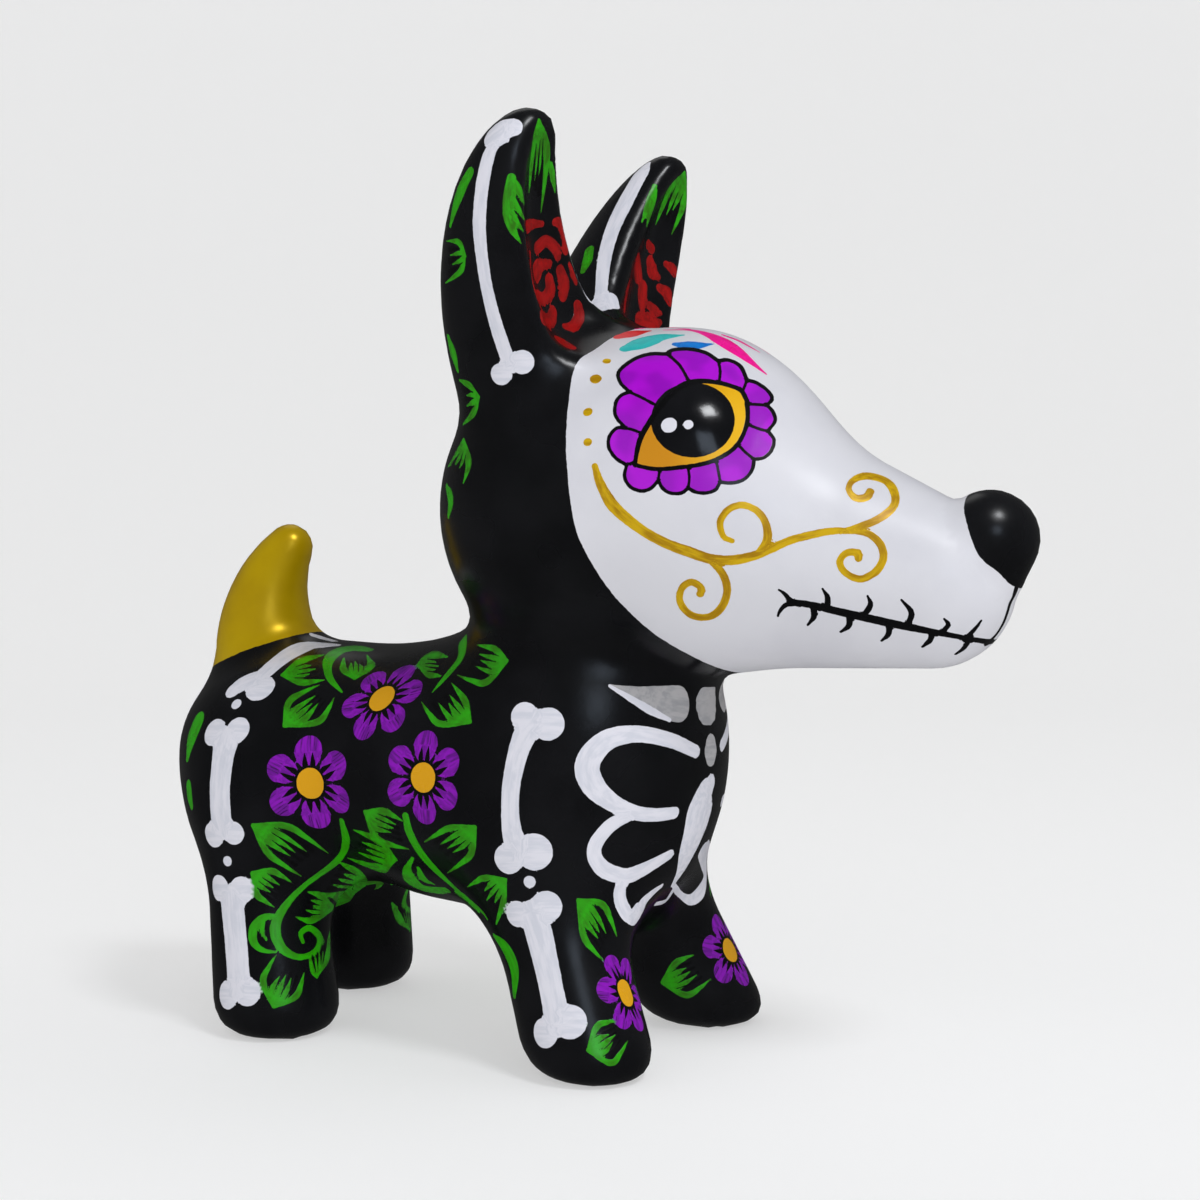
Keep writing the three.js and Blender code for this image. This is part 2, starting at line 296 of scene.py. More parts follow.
# %% Form the body and legs
CHEST = (place(0, 2.6, 63.4), np.array([32.4, 29.0, 39.4]))
BARREL = (place(0, -24.6, 57.0), np.array([32.2, 43.2, 29.2]))
RUMP = (place(0, -68.6, 58.5), np.array([30.5, 30.5, 25.7]))
TORSO_BLEND = 14.0
FRONT_LEGS = {
    "hip": (17.9, -1.0, 44.6), "radius": 12.1, "foot_radius": 13.0,
    "right_foot": (25.7, 14.6), "left_foot": (25.7, 16.9),
}
REAR_LEGS = {
    "hip": (19.1, -70.2, 44.2), "radius": 11.9, "foot_radius": 13.8,
    "right_foot": (23.3, -63.1), "left_foot": (22.1, -71.8),
}
FOOT_CENTRE_HEIGHT = 4.0
FOOT_OVERRUN = 10.0
SOLE_EDGE = 8.2
LEG_PAIR_BLEND = 8.0
LEG_BLEND = 16.3


def leg(points, legs, foot, side):
    """A round cone from the hip past the foot's centre, cut by the floor with a rounded edge."""
    hip_side, hip_ahead, hip_up = legs["hip"]
    hip = place(side * hip_side, hip_ahead, hip_up)
    sole = place(side * foot[0], foot[1], FOOT_CENTRE_HEIGHT)
    overrun = FOOT_OVERRUN / hip_up
    end = hip + (sole - hip) * (1 + overrun)
    end_radius = legs["foot_radius"] + (legs["foot_radius"] - legs["radius"]) * overrun
    return soft_common(round_cone(points, hip, legs["radius"], end, end_radius), -points[:, 2], SOLE_EDGE)


def leg_pair(points, legs):
    """Left and right leg, softly joined."""
    left = leg(points, legs, legs["left_foot"], 1)
    right = leg(points, legs, legs["right_foot"], -1)
    return soft_union(left, right, LEG_PAIR_BLEND)


def body(points):
    """The three masses and both pairs of legs."""
    torso = soft_union(ellipsoid(points, *CHEST), ellipsoid(points, *BARREL), TORSO_BLEND)
    torso = soft_union(torso, ellipsoid(points, *RUMP), TORSO_BLEND)
    torso = soft_union(torso, leg_pair(points, FRONT_LEGS), LEG_BLEND)
    return soft_union(torso, leg_pair(points, REAR_LEGS), LEG_BLEND)


belly = body(np.array([place(0, -30, 0)]))[0]
print(f"the belly clears the floor by {belly:.0f} mm")

# %% [markdown]
# An ear is a ball swept up a curve, and a second sweep scoops out its front. Sweeping a ball gives the ear
# its thick rounded rim, which a bent plate would lack.

# %% Form the ears
EAR_PATH = np.array(
    [place(15.3, -2.5, 145), place(26, -6, 161.8), place(33.7, 0.8, 180), place(32.8, 5.3, 188)]
)
EAR_RADII = (16.5, 13.1, 11.75, 5.4)
EAR_WIDENING = 1.13
EAR_TURN = np.radians(20)
HOLLOW_PATH = np.array(
    [place(18, 18.8, 155), place(24, 16.3, 163), place(30, 14.3, 175), place(33, 12.3, 184)]
)
HOLLOW_RADII = (16.0, 14.5, 12.0, 5.5)
EAR_RIM = 4.5
EAR_PAIR_BLEND = 4.0


def ear(points, side):
    """The swept ear less its hollow, with a rounded rim. Side is +1 for the left ear."""
    flip = np.array([side, 1.0, 1.0])
    outside = swept_ball(points, EAR_PATH * flip, EAR_RADII, EAR_WIDENING, side * EAR_TURN)
    hollow = swept_ball(points, HOLLOW_PATH * flip, HOLLOW_RADII)
    return soft_common(outside, -hollow, EAR_RIM)


print(f"the ear's path ends {EAR_PATH[-1][2]:.0f} mm above the floor")

# %% [markdown]
# The head is a skull and a brow with a long cone for the muzzle. The eyes are balls that stand a little
# proud of it. The nose is a short cone, and the tail is swept as the ears are. With them the formula of the
# whole casting is complete.

# %% Form the head, nose and tail
SKULL = (place(0, 2.7, 114.2), np.array([38.3, 30.2, 34.4]))
BROW = (place(0, 24.8, 118.0), np.array([32.3, 31.2, 33.8]))
CHEEKS = (place(0, 36.3, 108.9), 27.4)
MUZZLE = (place(0, 78.0, 99.5), 16.7)
HEAD_BLEND = 12.1
NECK_BLEND = 7.9
EYE_CENTRE = place(16.1, 32.7, 126.2)
EYE_RADIUS = 15.0
EYE_BLEND = 2.5
NOSE_TOP = (place(0, 89.8, 108.6), 9.6)
NOSE_TIP = (place(0, 91.8, 102.5), 5.2)
NOSE_WIDENING = 1.09
NOSE_BLEND = 2.5
EAR_BLEND = 9.1
TAIL_PATH = np.array(
    [place(0, -76.7, 70.5), place(0, -86.3, 86.6), place(0, -80.2, 99.1), place(0, -74.4, 105.9)]
)
TAIL_RADII = (14.5, 11.1, 7.7, 5.0)
TAIL_BLEND = 5.6
MIRROR = np.array([-1.0, 1.0, 1.0])


def eye_balls(points):
    """Distance to the nearer of the two eye balls."""
    left = np.linalg.norm(points - EYE_CENTRE, axis=-1)
    right = np.linalg.norm(points - EYE_CENTRE * MIRROR, axis=-1)
    return np.minimum(left, right) - EYE_RADIUS


def head(points):
    """Skull, brow and muzzle, with ears and eyes."""
    shape = soft_union(ellipsoid(points, *SKULL), ellipsoid(points, *BROW), HEAD_BLEND)
    shape = soft_union(shape, round_cone(points, *CHEEKS, *MUZZLE), HEAD_BLEND)
    shape = soft_union(shape, soft_union(ear(points, 1), ear(points, -1), EAR_PAIR_BLEND), EAR_BLEND)
    return soft_union(shape, eye_balls(points), EYE_BLEND)


def clay(points):
    """Distance in mm from the surface of the whole casting, less than zero inside it."""
    shape = soft_union(body(points), head(points), NECK_BLEND)
    shape = soft_union(shape, swept_ball(points, TAIL_PATH, TAIL_RADII), TAIL_BLEND)
    return soft_union(shape, round_cone(points, *NOSE_TOP, *NOSE_TIP, NOSE_WIDENING), NOSE_BLEND)


print(f"the camera aims {-clay(CAMERA_AIM[None])[0]:.0f} mm deep into the clay")

# %% [markdown]
# Two questions are asked of the formula over and over: which way the surface faces at a point, and where
# the nearest point of the surface lies. Both come from its slope, the change of the distance over a small
# step along each axis.

# %% Find the surface
SLOPE_STEP = 0.05
LEAST_SLOPE = 0.2


def outward(points):
    """Unit normals: the change of the distance over a small step each way along X, Y and Z."""
    slope = np.stack([clay(points + d) - clay(points - d) for d in np.eye(3) * SLOPE_STEP], axis=-1)
    return slope / np.linalg.norm(slope, axis=-1, keepdims=True)


def seated(points, rounds=2):
    """Points slid onto the surface: each round moves them along the slope by their distance over it."""
    for _ in range(rounds):
        here = clay(points)
        slope = np.stack([clay(points + d) - here for d in np.eye(3) * SLOPE_STEP], axis=-1) / SLOPE_STEP
        points = points - slope * (here / np.maximum((slope**2).sum(-1), LEAST_SLOPE))[:, None]
    return points


crown = seated(np.array([place(0, 20, 160)]))[0]
print(f"the brow's top is {crown[2]:.1f} mm above the floor")

# %% [markdown]
# ## Brush strokes
# All of the painting is strokes of a round brush: a bone is a wide stroke with blobs at its ends, a leaf a
# fan of tapering ones. A picture texture would be simple, but it would be as coarse as its pixels, and the
# paint should stay crisp in a close view. So each stroke is kept as what the painter did, a centre line
# with a width at each knot. The knots are named by where they show in the photograph, as x, y and width in
# its pixels, and are cast through the camera onto the form. From then on they are real places on the dog.

# %% Cast points of the photograph onto the dog
CAST_STEPS = 70
CAST_DEPTH = 150.0
CAST_SHARE = 0.75


def cast(pixels):
    """Marches along each pixel's ray by a safe share of the distance to the clay. A ray that just misses
    keeps its nearest point, which is then seated, so that strokes can wrap over the outline."""
    offset = (np.asarray(pixels, float) - PHOTO_MIDDLE) / FOCAL_PIXELS
    ray = offset[:, :1] * camera_right - offset[:, 1:2] * camera_up - camera_back
    ray /= np.linalg.norm(ray, axis=1, keepdims=True)
    reach = np.full(len(ray), CAMERA_DISTANCE - CAST_DEPTH)
    best = reach.copy()
    least = np.full(len(ray), np.inf)
    for _ in range(CAST_STEPS):
        gap = clay(camera_place + ray * reach[:, None])
        closer = np.abs(gap) < least
        best = np.where(closer, reach, best)
        least = np.where(closer, np.abs(gap), least)
        reach = np.minimum(reach + gap * CAST_SHARE, CAMERA_DISTANCE + CAST_DEPTH)
    return seated(camera_place + ray * best[:, None])


def shown_at(points):
    """The photograph's pixel at which each point of the dog shows."""
    offset = points - camera_place
    depth = -(offset @ camera_back)[:, None]
    flat = np.stack([offset @ camera_right, -(offset @ camera_up)], axis=-1)
    return PHOTO_MIDDLE + FOCAL_PIXELS * flat / depth


middle_hit = cast([(PHOTO_MIDDLE, PHOTO_MIDDLE)])
print("the photograph's middle lies on the dog at", np.round(middle_hit[0], 1), "mm")

# %% Keep the list of strokes
KNOT_SPACING = 3.0
DAB_REACH = 0.2
strokes = []


def smooth_line(knots, spacing=KNOT_SPACING):
    """A line through the knots: between two it is the cubic whose slope at a knot is half the step from the
    knot before to the one after. It is sampled about every spacing along its length."""
    knots = np.asarray(knots, float)
    padded = np.concatenate([2 * knots[:1] - knots[1:2], knots, 2 * knots[-1:] - knots[-2:-1]])
    lengths = np.linalg.norm(np.diff(knots[:, :2], axis=0), axis=1)
    counts = np.maximum(np.ceil(lengths / spacing).astype(int), 2)
    shares = [k + np.arange(n) / n for k, n in enumerate(counts)]
    share = np.concatenate(shares + [[len(knots) - 1.0]])
    piece = np.minimum(share.astype(int), len(knots) - 2)
    t = (share - piece)[:, None]
    before, start, end, after = (padded[piece + k] for k in range(4))
    return 0.5 * (
        2 * start
        + (end - before) * t
        + (2 * before - 5 * start + 4 * end - after) * t**2
        + (3 * start - before - 3 * end + after) * t**3
    )


def brush(pigment, knots, layer="ground", lift=0.0, twin=True, mirror=0.0):
    """Notes one stroke. Lift is how far the paint has thinned by its end. A twin is painted on the dog's
    other side, mirrored about a line that stands that far to its left."""
    line = smooth_line(knots)
    strokes.append(
        {"pigment": pigment, "line": line, "layer": layer, "lift": lift, "twin": twin, "mirror": mirror}
    )


def dab(pigment, x, y, width, **rest):
    """A round spot: a stroke so short that only its round ends show."""
    brush(pigment, [(x - DAB_REACH, y, width), (x + DAB_REACH, y, width)], **rest)


print("points on a line of two knots 9 pixels apart:", len(smooth_line([(0, 0, 1), (9, 0, 1)])))

# %% [markdown]
# ### Bones
# Each limb has two cartoon bones: a shaft, and two round knobs at each end. A small dot marks the joint
# between them. The near ear has a bone up its outside, and the far one shows its bone on the inner side.
# Each is drawn once, and its twin is painted on the dog's other side.

# %% Paint the bones
SHAFTS = {
    "front_upper": [(533, 722, 26), (524, 736, 23), (517, 756, 20), (511, 785, 18), (510, 815, 18),
                    (513, 837, 21), (520, 852, 24)],
    "front_lower": [(532, 914, 26), (538, 932, 27), (545, 961, 25), (552, 994, 24), (557, 1022, 26)],
    "rear_upper": [(224, 742, 24), (221, 758, 21), (218, 788, 20), (219, 815, 20), (221, 826, 20)],
    "rear_lower": [(230, 900, 23), (231, 914, 22), (234, 945, 22), (236, 972, 22), (237, 986, 24)],
    "hip": [(336, 645, 3), (325, 645, 7), (307, 646, 10), (290, 653, 11), (275, 663, 11), (261, 675, 12)],
    "ear_outside": [(493, 145, 10), (488, 156, 12), (483, 178, 13), (480, 202, 13), (479, 228, 13),
                    (482, 260, 12), (487, 290, 12), (496, 325, 13), (508, 361, 14)],
    "ear_inside": [(646, 165, 4), (640, 174, 9), (626, 200, 13), (612, 230, 13), (604, 261, 13),
                   (601, 294, 12)],
}
KNOBS = [
    (524, 716, 28), (548, 724, 33), (508, 859, 30), (534, 852, 37),
    (517, 914, 26), (546, 907, 32), (545, 1033, 30), (570, 1022, 34),
    (213, 732, 25), (236, 730, 25), (212, 835, 24), (232, 833, 23),
    (218, 888, 26), (240, 890, 27), (226, 995, 28), (246, 992, 28),
    (259, 688, 22), (501, 374, 22), (522, 362, 24), (512, 127, 17),
]
JOINT_DOTS = [(529.6, 882, 12), (235, 704, 9), (226, 861, 10)]
LONG_KNOBS = {
    "hip": [(249, 680, 13), (240, 684, 12), (232, 690, 10)],
    "ear_tip": [(509, 127, 16), (503, 129, 19), (496, 134, 17)],
    "ear_inside_left": [(600, 298, 12), (600, 304, 12)],
    "ear_inside_right": [(611, 299, 14), (612, 303, 14)],
}
FAR_HIP = [(312, 635, 3), (322, 638, 5), (333, 641, 3)]

for shaft in SHAFTS.values():
    brush("bone", shaft)
for x, y, width in KNOBS + JOINT_DOTS:
    dab("bone", x, y, width)
for knob in LONG_KNOBS.values():
    brush("bone", knob)
brush("bone", FAR_HIP, twin=False)
print(len(strokes), "strokes of bone")

# %% [markdown]
# ### Collar bones and ribs
# The chest has a wedge-shaped collar bone, a breastbone in three pieces and three ribs, each looping on from
# the one above. The two upper pieces of the breastbone are short level strokes, one under the other. The
# painter's middle line lies a little to the dog's right of the true one, so the far ribs are mirrored about
# that line. The collar bone and the breastbone's two upper pieces lie under the chin. They are painted in a
# greyer bone colour as painted shade, and a lighter stroke across the collar bone is a painted highlight.

# %% Paint the chest
CHEST_MIDDLE = -2.3
COLLAR_BONE = [(611, 686, 3), (628, 691, 10), (645, 697, 21), (662, 702, 32), (677, 704, 37)]
# A lighter bone stroke across the collar bone: a painted highlight.
COLLAR_PAINTED_HIGHLIGHT = [(610, 686, 3), (630, 698, 6), (650, 710, 8), (670, 720, 4)]
# The collar bone and the breastbone's upper pieces use the greyer bone: painted shade under the chin.
BREAST_PIECES = [
    ("bone_in_painted_shade", [(703, 693, 11), (713, 693, 11)]),
    ("bone_in_painted_shade", [(700.5, 700, 13), (714, 700, 13)]),
    ("bone_in_painted_shade", [(700.5, 708, 13), (714, 708, 13)]),
    ("bone_in_painted_shade", [(702.5, 715, 13), (713, 715, 13)]),
    ("bone_in_painted_shade", [(704.5, 719.5, 11), (710.5, 719.5, 11)]),
    ("bone_in_painted_shade", [(711.5, 744, 20), (711.9, 744, 20)]),
    ("bone_in_painted_shade", [(711.5, 751, 25), (711.9, 751, 25)]),
    ("bone_in_painted_shade", [(711.5, 757, 19), (711.9, 757, 19)]),
    ("bone", [(711, 784, 8), (708, 790, 15), (705, 800, 19), (701.5, 812, 21.5), (697.5, 828, 19),
              (690, 850, 14), (683, 868, 8), (674, 884, 3)]),
]
RIBS = [
    [(696.5, 751.5, 12), (670, 740, 15), (636, 734, 17), (606, 741, 21), (588, 763, 25), (593, 785, 24),
     (613, 803, 18), (636, 813, 15), (657, 815, 13), (675, 813, 11)],
    [(636, 813, 10), (613, 824, 13), (597, 842, 14), (595, 857, 15), (605, 870, 17), (625, 876, 15),
     (641, 871, 12), (658, 862, 9), (670, 855, 7)],
    [(624, 879, 10), (620, 893, 12), (623, 907, 12), (631, 917, 12), (639, 911, 10), (645, 901, 6),
     (653, 893, 4), (662, 886, 2)],
]
FAR_RIB_LOOP = [(674, 885, 3), (680, 894, 6), (691, 899, 9), (702, 890, 8), (706, 875, 6), (705, 860, 7),
                (703, 850, 7)]
LOWEST_RIB = [(656, 904, 2), (666, 901, 3), (673, 891, 3)]

brush("bone_in_painted_shade", COLLAR_BONE, mirror=CHEST_MIDDLE)
# The painted highlight on the collar bone goes over it.
brush("bone", COLLAR_PAINTED_HIGHLIGHT, layer="over", mirror=CHEST_MIDDLE)
for pigment, knots in BREAST_PIECES:
    brush(pigment, knots, twin=False)
brush("bone", RIBS[0], mirror=CHEST_MIDDLE)
brush("bone", RIBS[1], mirror=CHEST_MIDDLE)
brush("bone", RIBS[2], twin=False)
brush("bone", FAR_RIB_LOOP, twin=False)
brush("bone", LOWEST_RIB, twin=False)
print(len(strokes), "strokes with the chest")

# %% [markdown]
# ### Leaves and stems
# A leaf is painted from its tip backwards: one long stroke down each edge, and shorter ones between. The
# paint runs out towards their ends. Then the black ground is let through again in thin slits between the
# strokes. So a leaf is given by its tip and by where its two edge strokes bend and end, and everything
# between is shared out evenly.

# %% Work out a leaf
LEAF_WIDTH = 6.6
LEAF_TAPER = (0.25, 1.0, 0.66, 0.12)
LEAF_LIFT = 0.25
TIP_INSET = 0.05
LATE_SHARE = 0.45
INNER_WIDTH = 0.9
INNER_BEND = 0.76
INNER_REACH = 0.72
REACH_SWAY = 0.08
SLIT_POINT = 0.5
SLIT_TAPER = (0.252, 0.4704)
SLIT_BEND = 0.8
SLIT_REACH = 0.84
SLIT_TOP_SWAY = 0.14


def fan(tip, first, last, share, reach):
    """The point at a share of the way from the first corner to the last, drawn back towards the tip."""
    return tip + (first + (last - first) * share - tip) * reach


def late_bend(tip, bend, end, fullness):
    """Where a stroke is on its last stretch: nearly half way back from its end to its bend, pushed outwards
    by how far the bend stands off the straight line."""
    return end + (bend - end) * LATE_SHARE + (bend - (tip + end) / 2) * fullness


def leaf(tip, first_bend, first_end, last_bend, last_end, between=3, width=LEAF_WIDTH, **rest):
    """A fan of strokes from the tip. Stroke k bends and ends at the share k of the way from the first edge
    to the last. The strokes between are straighter and reach only part of the way. A dark slit opens from
    the solid tip between each two, every second one drawn the other way so that neighbours agree on which
    side is which."""
    corners = (np.asarray(corner, float) for corner in (tip, first_bend, first_end, last_bend, last_end))
    tip, first_bend, first_end, last_bend, last_end = corners
    for k in range(between + 2):
        share = k / (between + 1)
        edge = k in (0, between + 1)
        reach = 1.0 if edge else INNER_REACH + REACH_SWAY * np.sin(2.4 * k + tip[0])
        bend = fan(tip, first_bend, last_bend, share, 1.0 if edge else INNER_BEND)
        end = fan(tip, first_end, last_end, share, reach)
        places = (tip + (bend - tip) * TIP_INSET, bend, late_bend(tip, bend, end, fullness=0.15), end)
        full = width if edge else width * INNER_WIDTH
        knots = [(*place_on, full * part) for place_on, part in zip(places, LEAF_TAPER)]
        brush("leaf_green", knots, lift=LEAF_LIFT, **rest)
    for k in range(between + 1):
        share = (k + 0.5) / (between + 1)
        bend = fan(tip, first_bend, last_bend, share, SLIT_BEND)
        end = fan(tip, first_end, last_end, share, SLIT_REACH)
        top = tip + (bend - tip) * (1 - SLIT_TOP_SWAY * np.sin(1.7 * k + tip[1]))
        late = late_bend(tip, bend, end, fullness=0.1)
        gap = np.linalg.norm(last_end - first_end) / (between + 1)
        slit = [(*top, SLIT_POINT), (*late, gap * SLIT_TAPER[0]), (*end, gap * SLIT_TAPER[1])]
        brush("line_black", slit[::-1] if k % 2 else slit, layer="over", **rest)


print("an edge stroke narrows from", LEAF_WIDTH, "pixels to", round(LEAF_WIDTH * LEAF_TAPER[3], 1))

# %% [markdown]
# The leaves sit in sprays round the flowers, on the back, along the legs and up the nape. Each is a row of
# its tip, the bend and end of its first edge, and the bend and end of its last edge.

# %% Paint the leaves
LEAVES = [
    ((280, 675), (300, 661), (322, 655), (300, 682), (323, 680)),
    ((282, 727), (288, 702), (318, 685), (316, 722), (333, 698)),
    ((471, 723), (465, 702), (451, 683), (440, 724), (421, 702)),
    ((250, 824), (285, 826), (327, 853), (266, 852), (300, 876)),
    ((396, 860), (379, 842), (353, 830), (380, 868), (347, 858)),
    ((363, 811), (382, 811), (402, 821), (376, 838), (408, 849)),
    ((476, 826), (450, 828), (424, 842), (471, 853), (447, 873)),
    ((250, 872), (270, 871), (290, 882), (255, 893), (273, 907)),
    ((366, 883), (354, 871), (338, 862), (345, 895), (318, 893)),
    ((333, 908), (320, 896), (307, 892), (312, 920), (295, 917)),
    ((272, 1008), (262, 982), (275, 955), (294, 997), (303, 973)),
    ((316, 977), (325, 958), (329, 932), (313, 972), (308, 955)),
    ((506, 879), (485, 878), (467, 887), (503, 900), (496, 924)),
    ((577, 899), (602, 904), (617, 936), (584, 936), (603, 960)),
    ((587, 1051), (597, 1027), (618, 1021), (611, 1063), (628, 1041)),
    ((508, 661), (496, 650), (477, 645), (486, 682), (457, 675)),
    ((417, 665), (428, 656), (447, 657), (428, 674), (440, 676)),
    ((354, 679), (369, 667), (366, 655), (343, 670), (343, 658)),
]
EAR_LEAVES = [
    ((465, 256), (459, 243), (446, 241), (461, 270), (445, 283)),
    ((479, 397), (469, 386), (459, 380), (474, 411), (463, 424)),
    ((463, 439), (456, 455), (448, 466), (468, 462), (463, 483)),
]
FAR_LEG_LEAF = ((661, 983), (675, 964), (694, 955), (686, 995), (711, 979))
HOLLOW_LEAVES = [
    ((539, 118), (534, 146), (529, 192), (547, 148), (541, 212)),
    ((685, 172), (670, 190), (656, 224), (685, 200), (672, 234)),
]
for corners in LEAVES:
    leaf(*corners)
for corners in EAR_LEAVES:
    leaf(*corners, between=2, width=5.5)
leaf(*FAR_LEG_LEAF, twin=False)
for corners in HOLLOW_LEAVES:
    leaf(*corners, between=2, width=6, twin=False)
print(len(strokes), "strokes with the leaves")

# %% [markdown]
# Stems, tendrils and small leaves are single strokes, and lie over the leaves. The ears' hollows have a few
# green strokes of their own round the edge.

# %% Paint the stems and the ears' lining
STEMS = [
    [(341, 821, 4), (345, 842, 7), (336, 861, 6), (303, 886, 5), (282, 909, 8), (274, 929, 11), (281, 948, 9),
     (298, 957, 6), (315, 951, 6), (319, 938, 6), (309, 928, 6), (300, 933, 5), (302, 942, 3)],
    [(405, 816, 6), (410, 835, 7), (425, 859, 6), (452, 886, 4), (480, 910, 2), (487, 919, 1)],
    [(341, 692, 2), (329, 678, 7), (327, 663, 8), (336, 652, 7), (352, 648, 8), (368, 650, 4)],
    [(463, 640, 5), (460, 658, 5), (444, 678, 4), (432, 692, 1)],
    [(278, 917, 3), (264, 917, 7), (253, 927, 9), (252, 941, 8), (261, 950, 5), (275, 952, 2)],
    [(262, 923, 4), (261, 932, 4), (265, 940, 1)],
    [(412, 858, 3), (407, 870, 7), (414, 884, 8), (430, 890, 8), (447, 890, 3)],
    [(418, 868, 2), (423, 879, 5), (433, 884, 1)],
    [(456, 893, 2), (466, 899, 6), (478, 911, 2)],
    [(494, 936, 2), (506, 950, 8), (514, 970, 8), (514, 995, 3)],
    [(196, 722, 9), (190, 738, 9), (186, 758, 3)],
    [(187, 786, 5), (188, 796, 6), (190, 806, 3)],
    [(469, 173, 7), (461, 188, 8), (455, 205, 6), (450, 225, 2)],
    [(448, 338, 3), (452, 352, 7), (457, 370, 2)],
    [(446, 486, 2), (450, 500, 6), (448, 516, 2)],
]
EAR_GREENS = [
    [(551, 164, 3), (553, 176, 5), (555, 192, 1)],
    [(511.5, 178, 9), (509.5, 192, 11.5), (508, 212, 11), (513, 230, 8), (521, 243, 1)],
    [(513, 182, 8), (519, 190, 7), (524, 203, 1)],
    [(511, 197, 7), (518, 208, 5), (524, 219, 1)],
    [(511, 212, 7), (517, 222, 5), (523, 231, 1)],
    [(655, 186, 5), (651, 198, 7), (647, 210, 6), (642, 222, 1)],
    [(656, 190, 3), (654, 201, 5), (650, 214, 4), (647, 226, 1)],
    [(589, 250, 7), (587, 261, 8), (583, 271, 4)],
]
for knots in STEMS:
    brush("leaf_green", knots, layer="over", lift=0.2)
for knots in EAR_GREENS:
    brush("leaf_green", knots, lift=0.3, twin=False)
print(len(strokes), "strokes with the stems")

# %% [markdown]
# ### Roses in the ears
# Each ear is lined with a rose: short, fat red strokes that curl round each other, with the black ground
# left between them. The two ears are turned differently to the camera, so each has its own strokes. Only
# the near rose's deepest petals are repeated in the far ear, where its outer side is hidden.

# %% Paint the roses
ROSE_PETALS = [
    [(527, 227, 6), (533, 224, 9), (542, 224, 6)],
    [(555, 222, 8), (560, 223, 9), (564, 235, 7), (566, 249, 5)],
    [(537, 248, 8), (546, 241, 11), (555, 248, 10), (558, 257, 6)],
    [(536, 273, 8), (540, 266, 11), (549, 264, 9)],
    [(549, 280, 8), (550, 291, 10), (543, 299, 9), (537, 296, 5)],
    [(569.5, 264, 2.5), (572.5, 273, 4), (576, 282, 3.5)],
    [(530, 252, 1.6), (531, 268, 2.2), (534, 287, 2.2), (541, 308, 2.6), (550, 329, 2)],
    [(553, 312, 7), (550, 321, 9), (543, 318, 6)],
]
DEEP_PETALS = [
    [(560, 270, 8), (564, 284, 11), (563, 296, 8)],
    [(578, 305, 8), (579, 317, 11), (573, 327, 11), (566, 327, 5)],
    [(562, 342, 8), (568, 346, 7)],
]
FAR_ROSE_PETALS = [
    [(648, 244, 5), (652, 249, 7)],
    [(637, 262, 8), (638, 274, 8)],
    [(650, 262, 7), (653, 272, 12), (658, 277, 5)],
    [(666, 264, 5), (672, 268, 9), (675, 272, 6)],
    [(643, 287, 8), (642, 297, 9), (642, 305, 6)],
    [(660, 288, 7), (667, 293, 11), (670, 300, 6)],
    [(650, 306, 7), (656, 311, 9), (660, 313, 4)],
    [(641, 322, 8), (650, 324, 10), (660, 322, 6)],
]
for knots in ROSE_PETALS:
    brush("rose_red", knots, lift=0.15, twin=False)
for knots in DEEP_PETALS:
    brush("rose_red", knots, lift=0.15)
for knots in FAR_ROSE_PETALS:
    brush("rose_red", knots, lift=0.3, twin=False)
print(len(strokes), "strokes with the roses")

# %% [markdown]
# ### The face
# The face has a gold scroll on the cheek, coloured strokes over the forehead, gold dots at the temple and a
# stitched black mouth. The eye is the best-drawn part: a black-lined almond with a gold ball, a big pupil
# and twelve purple petals round it, all outlined in black. The almond and the petals are areas, not strokes,
# so they are kept as closed outlines.

# %% Paint the cheek, forehead and mouth
SCROLL = [
    [(595, 466, 6), (600, 482, 9), (612, 504, 12), (629, 520, 11), (647, 533, 10), (668, 544, 10),
     (690, 552, 11), (712, 559, 10), (735, 560, 10), (760, 554, 9), (790, 541, 8), (812, 535, 8),
     (834, 531, 7), (850, 531, 6)],
    [(758, 554, 6), (768, 541, 9), (767, 524, 8), (758, 511, 7), (743, 505, 7), (729, 510, 7), (721, 522, 7),
     (724, 536, 6), (733, 541, 5)],
    [(708, 558, 5), (723, 573, 8), (728, 591, 8), (722, 608, 8), (709, 617, 7), (692, 615, 7), (681, 603, 7),
     (682, 589, 7), (692, 582, 7), (702, 588, 7), (701, 594, 8)],
    [(842, 532, 5), (860, 527, 7), (878, 520, 8), (893, 509, 8), (897, 497, 8), (889, 482, 7), (870, 476, 7),
     (855, 480, 6), (850, 489, 6), (857, 498, 7), (868, 497, 8), (872, 491, 8)],
    [(848, 531, 5), (868, 533, 7), (881, 543, 8), (885, 557, 8), (878, 571, 8), (862, 579, 7), (847, 573, 7),
     (841, 562, 7), (848, 553, 7), (859, 553, 8), (860, 558, 8)],
]
TEMPLE_DOTS = [(607, 361, 5), (596, 379, 9), (588, 412, 8), (588, 442, 8)]
FOREHEAD = [
    ("scarlet", [(620, 336.5, 5), (629, 334.5, 9), (639, 332.5, 8), (649, 331, 2)]),
    ("teal", [(627, 348, 6), (637, 344.5, 11), (651, 340, 11), (662, 337, 8), (684, 335, 1)]),
    ("sky_blue", [(676, 344, 3), (686, 345, 8), (698, 345, 7), (712, 344, 1)]),
    ("magenta", [(664, 330, 1), (690, 330, 3), (708, 334, 6), (723, 341, 9.5), (738, 351, 8.5),
                 (752, 362, 5), (767, 374, 1)]),
    ("magenta", [(724, 335, 2), (740, 341, 3), (760, 352, 1)]),
    ("magenta", [(636, 329, 1), (660, 327, 2), (690, 329, 1)]),
]
MOUTH = [(792, 602, 6), (812, 605, 7), (850, 614, 8), (900, 625, 8), (940, 633, 6), (967, 638, 4.5),
         (984, 641, 4), (996, 642, 2)]
